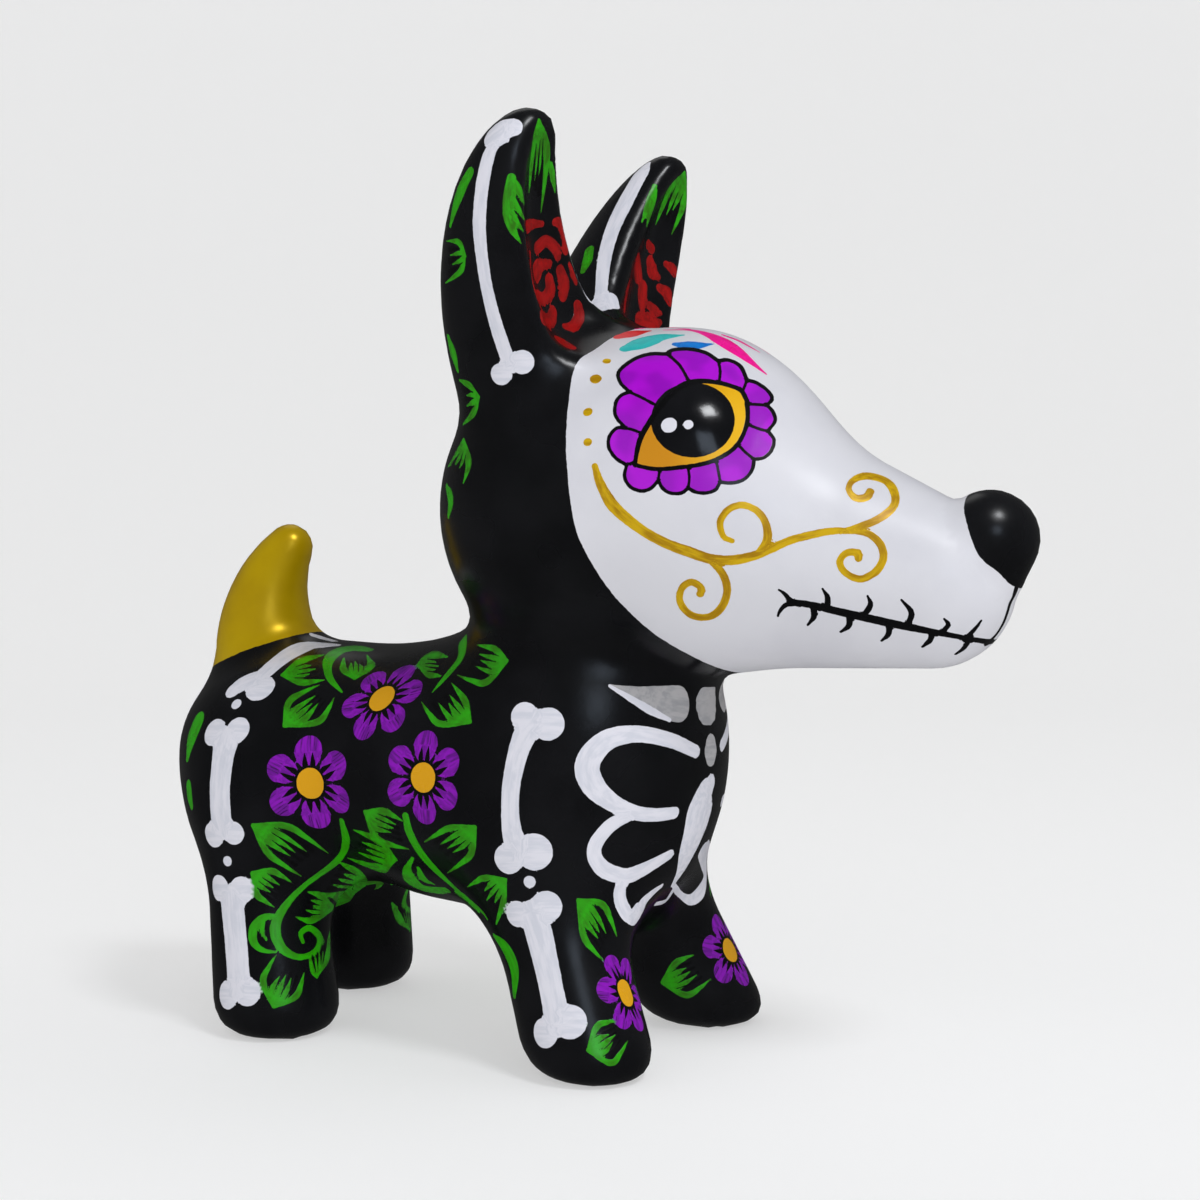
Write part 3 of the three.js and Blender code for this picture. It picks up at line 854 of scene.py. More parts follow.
MOUTH_CORNER = [
    [(799, 604, 6), (791, 600, 5), (786, 594, 4), (780, 590, 2)],
    [(797, 603, 6), (787, 605, 5), (781, 611, 4), (779, 616, 2)],
]
LIP_GROOVE = [(990, 643, 4), (998, 635, 3), (1005, 624, 3), (1009, 614, 3), (1012, 604, 3), (1016, 596, 3),
              (1019, 587, 4)]
STITCHES = [
    [(824, 589, 2), (829, 598, 6), (828, 608, 7)],
    [(869, 596, 2), (872, 605, 6), (865, 616, 6)],
    [(903, 600, 2), (913, 612, 6), (910, 624, 6)],
    [(946, 619, 2), (950, 625, 5), (943, 633, 5)],
    [(983, 621, 2), (977, 629, 4), (967, 639, 5)],
    [(815, 606, 7), (815, 617, 6), (809, 625, 2)],
    [(851, 614, 7), (850, 626, 6), (842, 632, 2)],
    [(891, 623, 7), (890, 634, 6), (883, 641, 2)],
    [(934, 632, 6), (932, 640, 6), (924, 647, 2)],
    [(972, 638, 5), (966, 648, 4), (958, 654, 2)],
]

for knots in SCROLL:
    brush("gold", knots)
for x, y, width in TEMPLE_DOTS:
    dab("gold", x, y, width)
for pigment, knots in FOREHEAD:
    brush(pigment, knots)
for knots in [MOUTH, *MOUTH_CORNER, *STITCHES]:
    brush("line_black", knots, layer="over")
brush("line_black", LIP_GROOVE, layer="over", twin=False)
print(len(strokes), "strokes with the face")

# %% Draw the eye and its petals
UPPER_LID = [(635, 465, 4), (640, 441, 5.5), (650, 422, 5.5), (662, 405, 5.5), (675, 391, 6), (689, 383, 6),
             (704, 381, 5), (718, 382.5, 4.5), (732, 386, 4.5), (742, 390.5, 4.5), (747.5, 400, 4.5)]
LOWER_LID = [(747.5, 400, 4.5), (748.5, 418, 4.5), (744, 435, 4.5), (734, 449, 4.5), (718, 459, 4.5),
             (701, 464.5, 4.5), (680, 467.5, 4.5), (656, 469, 4.5), (635, 465, 4)]
EYE_LIGHTS = [(669.5, 425, 15), (689, 424.5, 9)]
PETAL_RIM = [
    [(630, 392), (621, 383), (619, 372), (633, 360), (650, 354), (668, 354)],
    [(668, 354), (673, 350), (690, 349), (707, 353), (719, 361)],
    [(719, 361), (729, 360), (741, 366), (748, 380)],
    [(748, 380), (758, 383), (769, 391), (773, 399), (768, 405)],
    [(768, 405), (774, 412), (776, 421), (769, 431)],
    [(769, 431), (775, 440), (772, 451), (764, 458), (755, 459)],
    [(755, 459), (753, 470), (744, 480), (731, 483), (721, 482)],
    [(721, 482), (716, 490), (706, 493), (696, 492), (689, 488)],
    [(689, 488), (682, 493), (671, 493), (663, 488), (659, 480)],
    [(659, 480), (652, 488), (642, 491), (631, 487), (625, 477), (627, 465)],
    [(627, 465), (616, 458), (609, 447), (610, 436), (617, 428), (626, 428)],
    [(626, 428), (616, 416), (616, 403), (622, 395), (630, 392)],
]
PETAL_SEAMS = [
    [(630, 392, 3), (643, 398, 3), (656, 405, 3)],
    [(668, 354, 3), (680, 365, 3), (689, 380, 3)],
    [(719, 361, 3), (721, 371, 3), (720, 382, 3)],
    [(748, 380, 3), (744, 390, 3)],
    [(768, 405, 3), (749, 404, 3)],
    [(769, 431, 3), (760, 429, 3), (748, 424, 3)],
    [(755, 459, 3), (746, 452, 3), (739, 444, 3)],
    [(721, 482, 3), (719, 470, 3), (717, 461, 3)],
    [(689, 488, 3), (690, 478, 3), (689, 469, 3)],
    [(659, 480, 3), (660, 471, 3)],
    [(627, 465, 3), (634, 462, 3)],
    [(626, 428, 3), (634, 430, 3), (642, 433, 3)],
]
RIM_WIDTH = 3.7

for knots in [UPPER_LID, LOWER_LID, *PETAL_SEAMS]:
    brush("line_black", knots, layer="over")
for arc in PETAL_RIM:
    brush("line_black", [(x, y, RIM_WIDTH) for x, y in arc], layer="over")
for x, y, width in EYE_LIGHTS:
    dab("bone", x, y, width, layer="top")
print(len(strokes), "strokes with the eye")

# %% [markdown]
# ### Flowers
# The flowers look alike wherever the surface turns, so they aren't cast line by line. Each is laid out flat
# in millimetres on the plane that touches the dog at its centre, and then pressed onto the form. A petal is
# drawn as a leaf is: strokes that start side by side at its round rim and run out towards the centre, with
# two black slits between them. The gold disc goes on last, with a thin black rim round it.

# %% Work out a flower
PETALS = 6
FLOWER_SPACING = 0.9
PETAL_STROKES = [
    [(6.1, 0.0, 5.2), (6.5, 0.0, 5.7)],
    [(6.2, 1.75, 1.9), (4.6, 1.55, 1.3), (3.2, 0.95, 0.4)],
    [(6.2, -1.75, 1.9), (4.6, -1.55, 1.3), (3.2, -0.95, 0.4)],
    [(5.9, 0.0, 2.2), (4.4, 0.0, 1.4), (3.0, 0.0, 0.5)],
]
PETAL_SLITS = [
    [(2.5, 0.5, 0.9), (3.9, 0.8, 1.15), (5.1, 0.8, 0.7), (6.2, 0.8, 0.1)],
    [(6.2, -0.8, 0.1), (5.1, -0.8, 0.7), (3.9, -0.8, 1.15), (2.5, -0.5, 0.9)],
]
DISC_RIM_WIDTH = 6.5
DISC_WIDTH = 5.8
FLATTEST_DISC = 0.01


def flower_strokes(turn, petal_strokes):
    """Flat strokes as rows of x, y and width in mm. A petal's strokes are given as distance out from the
    centre, distance to the side and width, and are turned with their petal."""
    drawn = []
    for petal in range(PETALS):
        axis = np.radians(turn) + petal * 2 * np.pi / PETALS
        out = np.array([np.cos(axis), np.sin(axis)])
        side = np.array([-out[1], out[0]])
        for stroke in petal_strokes:
            knots = [(*(r * out + s * side), width) for r, s, width in stroke]
            drawn.append(smooth_line(knots, FLOWER_SPACING))
    return drawn


def sideways(line):
    """Unit steps to the side of a flat line, from the difference between the neighbours of each sample."""
    along = np.gradient(line[:, :2], axis=0)
    along /= np.maximum(np.linalg.norm(along, axis=1, keepdims=True), TINY)
    return np.stack([-along[:, 1], along[:, 0]], axis=1)


def stretched_room(knots, wide, tall):
    """Half the width of a flat stroke after a stretch in both directions. The area grows by wide times tall,
    and the width takes what the stroke's own length doesn't."""
    side = sideways(knots)
    longer = np.hypot(wide * side[:, 1], tall * side[:, 0])
    return knots[:, 2] / 2 * wide * tall / longer


def disc_stroke(width, wide, tall):
    """A round dab, or in a flower that is taller than wide an upright one of the same proportion."""
    reach = width / 2 * max(1 - wide / tall, FLATTEST_DISC)
    narrowed = width * min(1.0, (wide + tall) / 2 / wide)
    return np.array([(0.0, -reach, narrowed), (0.0, reach, narrowed)])


def facing(normals):
    """For each normal the two directions in its touching plane: right, which is level, and up."""
    right = np.cross([0.0, 0.0, 1.0], normals)
    right /= np.linalg.norm(right, axis=1, keepdims=True)
    return right, np.cross(normals, right)


print(PETALS * (len(PETAL_STROKES) + len(PETAL_SLITS)) + 2, "strokes in a flower")

# %% [markdown]
# ### From strokes to lines on the clay
# All casting is done in one go, because the form is costly to ask and answers a thousand points as fast as
# ten. Each stroke is cast three times, along its middle and both edges, so its width is right on slanting
# parts too. Twins are mirrored, leaned as the left leg leans, and seated again.

# %% Find a twin's place
BELLY_MIDDLE = 30.0


def evened(values):
    """Each value averaged with its neighbours, the ends with themselves."""
    padded = np.concatenate([values[:1], values, values[-1:]])
    return (padded[:-2] + padded[1:-1] + padded[2:]) / 3


def cut_up(array, sizes):
    """Splits the rows of one long array into one array for each stroke."""
    return np.split(array, np.cumsum(sizes)[:-1])


def leg_lean(points):
    """How far behind the right leg the left one stands at each height, as a step along Y."""
    front = points[:, 1] < BELLY_MIDDLE
    front_lean = FRONT_LEGS["left_foot"][1] - FRONT_LEGS["right_foot"][1]
    rear_lean = REAR_LEGS["left_foot"][1] - REAR_LEGS["right_foot"][1]
    down = np.clip(1 - points[:, 2] / FRONT_LEGS["hip"][2], 0, 1)
    return -np.where(front, front_lean, rear_lean) * down


def mirrored(points, middle):
    """The points on the dog's other side, leaned with its legs and not yet seated."""
    other = points * MIRROR
    other[:, 0] += 2 * middle
    other[:, 1] += leg_lean(points)
    return other


sole_lean = leg_lean(np.array([[0.0, 0.0, 0.0]]))[0]
print(f"the left front foot stands {-sole_lean:.1f} mm ahead of the right one")

# %% Cast every stroke
STEEPEST_STRETCH = 2.5
sizes = [len(stroke["line"]) for stroke in strokes]
flat = np.concatenate([stroke["line"] for stroke in strokes])
step = np.concatenate([sideways(stroke["line"]) for stroke in strokes])
edge_step = step * flat[:, 2:] / 2
hits = cast(np.concatenate([flat[:, :2], flat[:, :2] - edge_step, flat[:, :2] + edge_step]))
middle, one_edge, other_edge = np.split(hits, 3)
level = (camera_place - middle) @ camera_back / FOCAL_PIXELS * flat[:, 2] / 2
half = np.linalg.norm(one_edge - other_edge, axis=1) / 2
half = np.clip(half, level, level * STEEPEST_STRETCH)

lines = []
for stroke, points, room in zip(strokes, cut_up(middle, sizes), cut_up(half, sizes)):
    room = evened(room)
    lines.append((points, room, stroke["pigment"], stroke["layer"], stroke["lift"]))
    if stroke["twin"]:
        twin = mirrored(points, stroke["mirror"])
        lines.append((twin, room, stroke["pigment"], stroke["layer"], stroke["lift"]))
print(f"{len(strokes)} strokes cast, {len(lines)} lines with their twins")

# %% [markdown]
# Each flower is a row of its centre in the photograph, its turn in degrees, how much wider and taller it is
# than the pattern, and whether it has a twin on the other side.

# %% Paint the flowers
FLOWERS = [
    (309.6, 783.4, 96, 1.21, 1.07, True),
    (381.0, 698.0, 80, 1.12, 1.07, True),
    (422.6, 777.6, 91, 1.07, 1.05, True),
    (626.3, 993.0, 104, 0.72, 0.96, False),
    (731.0, 950.0, 100, 0.96, 0.9, False),
]
flower_centres = cast([flower[:2] for flower in FLOWERS])
flower_planes = zip(flower_centres, *facing(outward(flower_centres)))
for (_, _, turn, wide, tall, twin), (centre, right, up) in zip(FLOWERS, flower_planes):
    drawn = [(knots, "petal_purple", "ground", 0.3) for knots in flower_strokes(turn, PETAL_STROKES)]
    drawn += [(knots, "line_black", "over", 0.0) for knots in flower_strokes(turn, PETAL_SLITS)]
    drawn.append((disc_stroke(DISC_RIM_WIDTH, wide, tall), "line_black", "over", 0.0))
    drawn.append((disc_stroke(DISC_WIDTH, wide, tall), "disc_gold", "top", 0.0))
    for knots, *look in drawn:
        points = centre + knots[:, :1] * wide * right + knots[:, 1:2] * tall * up
        room = stretched_room(knots, wide, tall)
        lines.append((points, room, *look))
        if twin:
            lines.append((mirrored(points, 0.0), room, *look))

sizes = [len(line[0]) for line in lines]
on_clay = seated(np.concatenate([line[0] for line in lines]), 3)
line_normals = cut_up(outward(on_clay), sizes)
line_points = cut_up(on_clay, sizes)
print(f"{len(lines)} lines on the clay, {sum(sizes)} points")

# %% [markdown]
# ## The pigments
# Hand painting is never one flat colour: the brush leaves a second, deeper tone in streaks along the
# stroke. Each pigment is a main colour, its streak colour and how metallic it is. Colours are picked as
# they look on a screen, and Blender mixes light, so they are converted to linear values.

# %% Mix the pigments
PIGMENTS = {
    "bone": ((225, 224, 232), (206, 208, 218), 0.0),
    # A greyer copy of bone: painted shade on the chest bones under the chin.
    "bone_in_painted_shade": ((180, 178, 179), (152, 152, 156), 0.0),
    "leaf_green": ((42, 168, 2), (46, 92, 4), 0.0),
    "petal_purple": ((142, 0, 186), (92, 0, 128), 0.0),
    "disc_gold": ((222, 160, 4), (186, 126, 4), 0.0),
    "rose_red": ((164, 0, 0), (114, 0, 0), 0.0),
    "gold": ((222, 180, 8), (158, 106, 0), 0.15),
    "scarlet": ((232, 10, 16), (214, 8, 14), 0.0),
    "teal": ((0, 194, 190), (0, 178, 178), 0.0),
    "sky_blue": ((0, 126, 216), (0, 100, 190), 0.0),
    "magenta": ((255, 0, 156), (235, 0, 130), 0.0),
    "line_black": ((8, 8, 10), (14, 13, 17), 0.0),
}


def linear(screen):
    """Screen values of 0 to 255 as linear light: (c + 0.055) / 1.055 to the power 2.4, or c / 12.92 when
    dark."""
    c = np.asarray(screen, float) / 255
    return np.where(c > 0.04045, ((c + 0.055) / 1.055) ** 2.4, c / 12.92)


def pigment_rows(name):
    """The two rows of colour and metal that a stroke of this pigment gives to the points near it."""
    main, streak, metal = PIGMENTS[name]
    return np.array([*linear(main), metal]), np.array([*linear(streak), 1.0])


print(len(PIGMENTS), "pigments, bone in linear light:", np.round(pigment_rows("bone")[0][:3], 2))

# %% [markdown]
# ## Areas of colour
# The white face, the black nose, the gold tail and the parts of the eye are areas rather than strokes. Each
# is kept as a distance in millimetres from its edge, less than zero inside. On the face and the nose, the
# edge is how far ahead the colour begins at each height. It is cast from the pixels where it shows, and
# carried on in listed knots of height and distance ahead where it turns out of sight. The eye's areas are
# outlines in the photograph's pixels.

# %% Draw the areas' edges
FACE_EDGE_PIXELS = [(735, 672), (700, 660), (650, 630), (610, 590), (580, 540), (568, 480), (567, 420),
                    (570, 390), (578, 361.5), (600, 346), (615, 336.4)]
OVER_THE_BROW = [(151.6, 17.2), (153, 18.7), (156, 21)]
THROAT = 80.0
NOSE_EDGE_PIXELS = [(1015, 586), (1000, 572), (981, 556), (969, 525), (966, 510), (968, 498)]
BELOW_THE_NOSE = [(96, 100)]
ABOVE_THE_NOSE = [(121, 85.4)]
TAIL_EDGE_HEIGHT = 83.0
TAIL_EDGE_AHEAD = -76.0
TAIL_EDGE_RISE = 0.38
TAIL_ROOM = -62.0
ALMOND = [(x, y) for x, y, _ in UPPER_LID[:-1] + LOWER_LID[:-1]]
PUPIL_CENTRE = np.array([693.5, 420.0])
PUPIL_HALF = np.array([42.2, 37.4])
FAR_AWAY = 9.0
EYE_ROOM_LOW = np.array([6.0, 12.0, 100.0])
EYE_ROOM_HIGH = np.array([60.0, 62.0, 155.0])


def edge_knots(pixels):
    """The height and the distance ahead, in mm, of the places on the dog that show at the pixels."""
    return [(up, -behind) for _, behind, up in cast(pixels)]


def beyond(along, out, knots):
    """How far out exceeds the smooth curve through the knots at the height along, measured square to it."""
    curve = smooth_line([(a, o, 0) for a, o in knots], 1.0)
    slope = np.gradient(curve[:, 1], curve[:, 0])
    lean = np.sqrt(1 + np.interp(along, curve[:, 0], slope) ** 2)
    return (out - np.interp(along, curve[:, 0], curve[:, 1])) / lean


def outline_distance(pixels, outline):
    """Signed distance in pixels from a closed outline: the least distance to its edges, less than zero where
    a ray to the right crosses it an odd number of times."""
    start = np.asarray(outline, float)
    run = np.roll(start, -1, axis=0) - start
    offset = pixels[:, None, :] - start
    share = np.clip((offset * run).sum(-1) / (run * run).sum(-1), 0, 1)
    gap = np.linalg.norm(offset - share[..., None] * run, axis=-1).min(1)
    above = start[:, 1] > pixels[:, None, 1]
    next_above = np.roll(above, -1, axis=1)
    crossing = offset[..., 0] < offset[..., 1] * run[:, 0] / np.where(run[:, 1] == 0, TINY, run[:, 1])
    inside = (crossing & (above != next_above)).sum(1) % 2 == 1
    return np.where(inside, -gap, gap)


FACE_EDGE = edge_knots(FACE_EDGE_PIXELS) + OVER_THE_BROW
NOSE_EDGE = BELOW_THE_NOSE + edge_knots(NOSE_EDGE_PIXELS) + ABOVE_THE_NOSE
print("the white begins", np.round(FACE_EDGE[0], 1), "mm up and ahead, the nose", np.round(NOSE_EDGE[1], 1))


# %% Measure the areas
def area_edges(points):
    """The distance in mm from the edge of each of the six areas, at each point."""
    ahead, up = -points[:, 1], points[:, 2]
    face = -beyond(up, ahead, FACE_EDGE)
    face = np.where(up < THROAT, np.maximum(face, THROAT - up), face)
    nose = -beyond(up, ahead, NOSE_EDGE)
    tail = (TAIL_EDGE_HEIGHT + TAIL_EDGE_RISE * (ahead - TAIL_EDGE_AHEAD) - up) / np.hypot(1, TAIL_EDGE_RISE)
    tail = np.where(ahead > TAIL_ROOM, FAR_AWAY, tail)
    near_side = points * np.where(points[:, :1] > 0, MIRROR, 1.0)
    pixel = (camera_place - near_side) @ camera_back / FOCAL_PIXELS
    almond = np.full(len(points), FAR_AWAY)
    petals = almond.copy()
    pupil = almond.copy()
    spot = np.stack([np.abs(points[:, 0]), ahead, up], axis=1)
    by_eye = ((spot > EYE_ROOM_LOW) & (spot < EYE_ROOM_HIGH)).all(1)
    shown = shown_at(near_side[by_eye])
    rim = np.concatenate([smooth_line([(*p, 0) for p in arc])[:-1, :2] for arc in PETAL_RIM])
    almond[by_eye] = outline_distance(shown, ALMOND) * pixel[by_eye]
    petals[by_eye] = outline_distance(shown, rim) * pixel[by_eye]
    round_share = np.linalg.norm((shown - PUPIL_CENTRE) / PUPIL_HALF, axis=1) - 1
    pupil[by_eye] = round_share * PUPIL_HALF.mean() * pixel[by_eye]
    return {"face": face, "nose": nose, "tail": tail, "almond": almond, "petals": petals, "pupil": pupil}


brow_edges = area_edges(crown[None])
print(f"the white begins {-brow_edges['face'][0]:.1f} mm behind the brow's top")

# %% [markdown]
# ## Reading the strokes
# Paint could be stored as a colour at each point of the mesh, but then a line is only as crisp as the mesh.
# Instead each point stores where it lies in its nearest stroke: how far along it, how far from its other
# end, how far across, and the stroke's half width. Those change evenly over the surface, so they come out
# right between the points too, and the material works out the edge for itself in every pixel.

# %% Read the nearest stroke
REACH = 2.6
SMALL = 1e-6
LEAST_NORMAL = 0.2


def read_stroke(points, normals, line, line_normal, half):
    """For points near one stroke: the nearest place on its line gives u (mm from the start, less than zero
    before it), rest (mm to the end), v (mm across, in the surface) and w (half width). The edge distance is
    the length of (overrun, v) less w. Points more than REACH off the surface there, or facing away from it,
    are marked as far."""
    run = np.diff(line, axis=0)
    length = np.maximum(np.linalg.norm(run, axis=1), SMALL)
    start = np.concatenate([[0.0], np.cumsum(length)])
    offset = points[:, None, :] - line[:-1]
    share = (offset * run).sum(-1) / length**2
    gap = ((offset - np.clip(share, 0, 1)[..., None] * run) ** 2).sum(-1)
    piece = gap.argmin(1)
    row = np.arange(len(points))
    share = share[row, piece]
    held = np.clip(share, 0, 1)
    first, last = piece == 0, piece == len(run) - 1
    free = np.where((share < 0) & first | (share > 1) & last, share, held)
    u = start[piece] + free * length[piece]
    normal = line_normal[piece] * (1 - held[:, None]) + line_normal[piece + 1] * held[:, None]
    normal /= np.linalg.norm(normal, axis=1, keepdims=True)
    off = points - line[piece] - held[:, None] * run[piece]
    lift = (off * normal).sum(-1)
    tangent = run[piece] / length[piece, None]
    overrun = (off * tangent).sum(-1)
    v = np.sqrt(np.maximum((off * off).sum(-1) - lift**2 - overrun**2, 0))
    v *= np.sign((off * np.cross(normal, tangent)).sum(-1))
    w = half[piece] * (1 - held) + half[piece + 1] * held
    edge = np.hypot(np.maximum(np.maximum(-u, u - start[-1]), 0), v) - w
    far = (np.abs(lift) > REACH) | ((normals * normal).sum(-1) < LEAST_NORMAL)
    return u, start[-1] - u, v, w, np.where(far, REACH, edge)


tried = read_stroke(line_points[0][:1], line_normals[0][:1], line_points[0], line_normals[0], lines[0][1])
print(f"the first stroke's start lies {-tried[4][0]:.2f} mm inside its edge")

# %% Read a layer of strokes
LAYERS = ("ground", "over", "top")
NOWHERE = 99.0
THINNING = 1.5


def read_layer(points, normals, layer):
    """Goes through the layer's strokes and keeps, for each point, the one whose edge is nearest. A stroke's
    cover is 1 at its start and falls by its lift, as the power THINNING of the share run."""
    place_row = np.full((len(points), 3), NOWHERE)
    room = np.tile([0.0, REACH, 1.0], (len(points), 1))
    ink = np.zeros((len(points), 4))
    streak = ink.copy()
    which = np.full(len(points), -1)
    for number, (look, line, normal) in enumerate(zip(lines, line_points, line_normals)):
        _, half, pigment, where, lift = look
        if where != layer:
            continue
        margin = half.max() + REACH
        low, high = line.min(0) - margin, line.max(0) + margin
        near = np.flatnonzero(((points > low) & (points < high)).all(1))
        if not len(near):
            continue
        u, rest, v, w, edge = read_stroke(points[near], normals[near], line, normal, half)
        nearer = edge < room[near, 1]
        chosen = near[nearer]
        share = np.clip(u / np.maximum(u + rest, SMALL), 0, 1)
        cover = 1 - lift * share**THINNING
        place_row[chosen] = np.stack([u, rest, v], axis=1)[nearer]
        room[chosen] = np.stack([w, edge, cover], axis=1)[nearer]
        ink[chosen], streak[chosen] = pigment_rows(pigment)
        which[chosen] = number
    return {"place": place_row, "room": room, "ink": ink, "streak": streak, "which": which}


def read_paint(points, normals):
    """All that the material needs at each point: the areas, and the nearest strokes of each layer."""
    return area_edges(points), {layer: read_layer(points, normals, layer) for layer in LAYERS}


for layer in LAYERS:
    print(layer, "holds", sum(line[3] == layer for line in lines), "lines")

# %% [markdown]
# ## The fine mesh
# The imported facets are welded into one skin. Then edges are halved again and again, with each new point slid
# onto the form. Halving every edge alike would spend a million triangles on plain black. So an edge is
# halved only while it is longer than the paint near it needs: 0.4 to 0.8 mm at the edge of a stroke, and
# 2.6 mm far from one.

# %% Weld the skin
SOLE_HEIGHT = 0.3


def welded(thing):
    """The mesh's points in mm, each kept once where facets share it, and its triangles."""
    mesh = thing.data
    flat = np.empty(len(mesh.vertices) * 3, np.float32)
    mesh.vertices.foreach_get("co", flat)
    corners = np.empty(len(mesh.polygons) * 3, np.int32)
    mesh.polygons.foreach_get("vertices", corners)
    rounded = np.round(flat.reshape(-1, 3).astype(float) / MILLIMETRE, 4)
    points, where = np.unique(rounded, axis=0, return_inverse=True)
    return points, where.reshape(-1)[corners].reshape(-1, 3)


def on_form(points):
    """Points seated on the form, with the soles wiped flat."""
    points = seated(points)
    points[:, 2] = np.where(points[:, 2] < SOLE_HEIGHT, 0.0, points[:, 2])
    return points


points, faces = welded(casting)
print(f"{len(points)} points and {len(faces)} triangles in the welded skin")

# %% Halve the long edges
SLACK = 1.36


def halved(points, faces, target):
    """Halves each edge longer than SLACK times the mean target of its ends. A triangle with one split edge
    becomes two, with two it becomes three, and with three it becomes four."""
    edges = np.sort(faces[:, [[0, 1], [1, 2], [2, 0]]].reshape(-1, 2), axis=1)
    key = edges[:, 0] * len(points) + edges[:, 1]
    _, kept, where = np.unique(key, return_index=True, return_inverse=True)
    ends = edges[kept]
    length = np.linalg.norm(points[ends[:, 0]] - points[ends[:, 1]], axis=1)
    long = length > SLACK * target[ends].mean(1)
    middle = np.full(len(ends), -1)
    middle[long] = len(points) + np.arange(long.sum())
    split = middle[where.reshape(-1)].reshape(-1, 3)
    count = (split >= 0).sum(1)
    turn = np.where(count == 1, split.argmax(1), np.where(count == 2, split.argmin(1) + 1, 0))
    order = (np.arange(3) + turn[:, None]) % 3
    a, b, c = np.take_along_axis(faces, order, axis=1).T
    ab, bc, ca = np.take_along_axis(split, order, axis=1).T
    one, two, three = count == 1, count == 2, count == 3
    parts = [faces[count == 0]]
    for chosen, triangles in (
        (one, [(a, ab, c), (ab, b, c)]),
        (two, [(ab, b, bc), (a, ab, bc), (a, bc, c)]),
        (three, [(a, ab, ca), (ab, b, bc), (ca, bc, c), (ab, bc, ca)]),
    ):
        parts += [np.stack([corner[chosen] for corner in triangle], axis=1) for triangle in triangles]
    return points[ends[long]].mean(1), np.concatenate(parts)


print(len(halved(points, faces, np.full(len(points), 3.0))[0]), "edges to halve for a target of 3 mm")

# %% Refine the skin where there is paint
FINEST_EDGE = 0.4
WIDE_STROKE_EDGE = 0.8
COARSEST_EDGE = 2.6
EDGE_PER_WIDTH = 0.28
AREA_BAND = 0.4
STROKE_BAND = 0.3
REFINE_ROUNDS = 7


def wanted_edge(points):
    """The edge length that the paint needs at each point. It grows with the half width of the nearest
    stroke, and outside a narrow band along the paint's edge it grows with the distance from it. A broad
    area needs only the length for wide strokes."""
    areas, layers = read_paint(points, outward(points))
    wanted = np.full(len(points), COARSEST_EDGE)
    for edge in areas.values():
        wanted = np.minimum(wanted, WIDE_STROKE_EDGE + np.maximum(np.abs(edge) - AREA_BAND, 0))
    for rows in layers.values():
        half, edge = rows["room"][:, 0], np.abs(rows["room"][:, 1])
        finest = np.clip(EDGE_PER_WIDTH + EDGE_PER_WIDTH * half, FINEST_EDGE, WIDE_STROKE_EDGE)
        wanted = np.minimum(wanted, finest + np.maximum(edge - STROKE_BAND, 0))
    return wanted


target = wanted_edge(points)
for _ in range(REFINE_ROUNDS):
    fresh, faces = halved(points, faces, target)
    if not len(fresh):
        break
    fresh = on_form(fresh)
    points = np.concatenate([points, fresh])
    target = np.concatenate([target, wanted_edge(fresh)])
    print(f"{len(points)} points, {len(faces)} triangles")

normals = outward(points)
areas, layers = read_paint(points, normals)

# %% [markdown]
# Between two points that read different strokes, or different turns of a curl, the blend of their numbers
# means nothing. Such points keep their edge distance as a guard that holds the ink back there.

# %% Guard the points between strokes
UNGUARDED = 2.0
LONGEST_STEP = 1.8


def guard(room, which, along):
    """Marks the corners of each triangle that reads different strokes, or whose corners lie further apart
    along one stroke than LONGEST_STEP. At all other points the edge distance is lowered out of play."""
    mixed = np.zeros(len(which), bool)
    readings, steps = which[faces], along[faces]
    jump = steps.max(1) - steps.min(1) > LONGEST_STEP
    mixed[faces[jump | (readings.min(1) != readings.max(1))]] = True
    room[:, 1] -= np.where(mixed, 0, UNGUARDED)
    return mixed.mean()


for layer, rows in layers.items():
    share = guard(rows["room"], rows.pop("which"), rows["place"][:, 0])
    print(f"{layer}: {share:.0%} of the points are guarded")

# %% [markdown]
# The refined skin rounds out the facets, so here and there it would stand a hair proud of the CAD box. It is
# drawn in by that hair along each axis, about the middle of the box and the floor. Its normals come from
# the formula, so the gloss runs smoothly whatever the triangles do.

# %% Make the figurine
soles = points[:, 2] == 0
normals[soles] = (0.0, 0.0, -1.0)
box_low, box_high = (np.array(corner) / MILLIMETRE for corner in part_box("dog_figurine"))
lowest, highest = np.minimum(points.min(0), -SMALL), points.max(0)
below = np.where(points.min(0) < 0, box_low / lowest, 1.0)
shrink = np.minimum(np.minimum(box_high / highest, below), 1.0)
figurine = add_mesh("painted_dog", points * shrink, faces)
figurine.data.normals_split_custom_set_from_vertices(normals.tolist())
print("drawn in by", np.round(shrink, 5), "box", np.round(box_low, 2), np.round(box_high, 2))


def add_attribute(name, kind, values):
    """Stores one value, vector or colour at each point of the figurine."""
    fields = {"FLOAT": "value", "FLOAT_VECTOR": "vector", "FLOAT_COLOR": "color"}
    attribute = figurine.data.attributes.new(name, kind, "POINT")
    attribute.data.foreach_set(fields[kind], np.ascontiguousarray(values, np.float32).ravel())


for layer, rows in layers.items():
    add_attribute(layer + "_place", "FLOAT_VECTOR", rows["place"])
    add_attribute(layer + "_room", "FLOAT_VECTOR", rows["room"])
    add_attribute(layer + "_ink", "FLOAT_COLOR", rows["ink"])
    add_attribute(layer + "_streak", "FLOAT_COLOR", rows["streak"])
for area, edge in areas.items():
    add_attribute(area + "_edge", "FLOAT", edge)
print(len(layers) * 4 + len(areas), "attributes on the figurine")

# %% [markdown]
# ## The painted finish
# The material lays the paint on in the painter's order: charcoal enamel, the white face, the strokes, the
# eye, the black lines and the two white eye lights. Each coat has a share between 0 and 1, and mixes its
# colour, gloss and ridges over those below. Small helpers wire the nodes, so each coat reads as a formula.

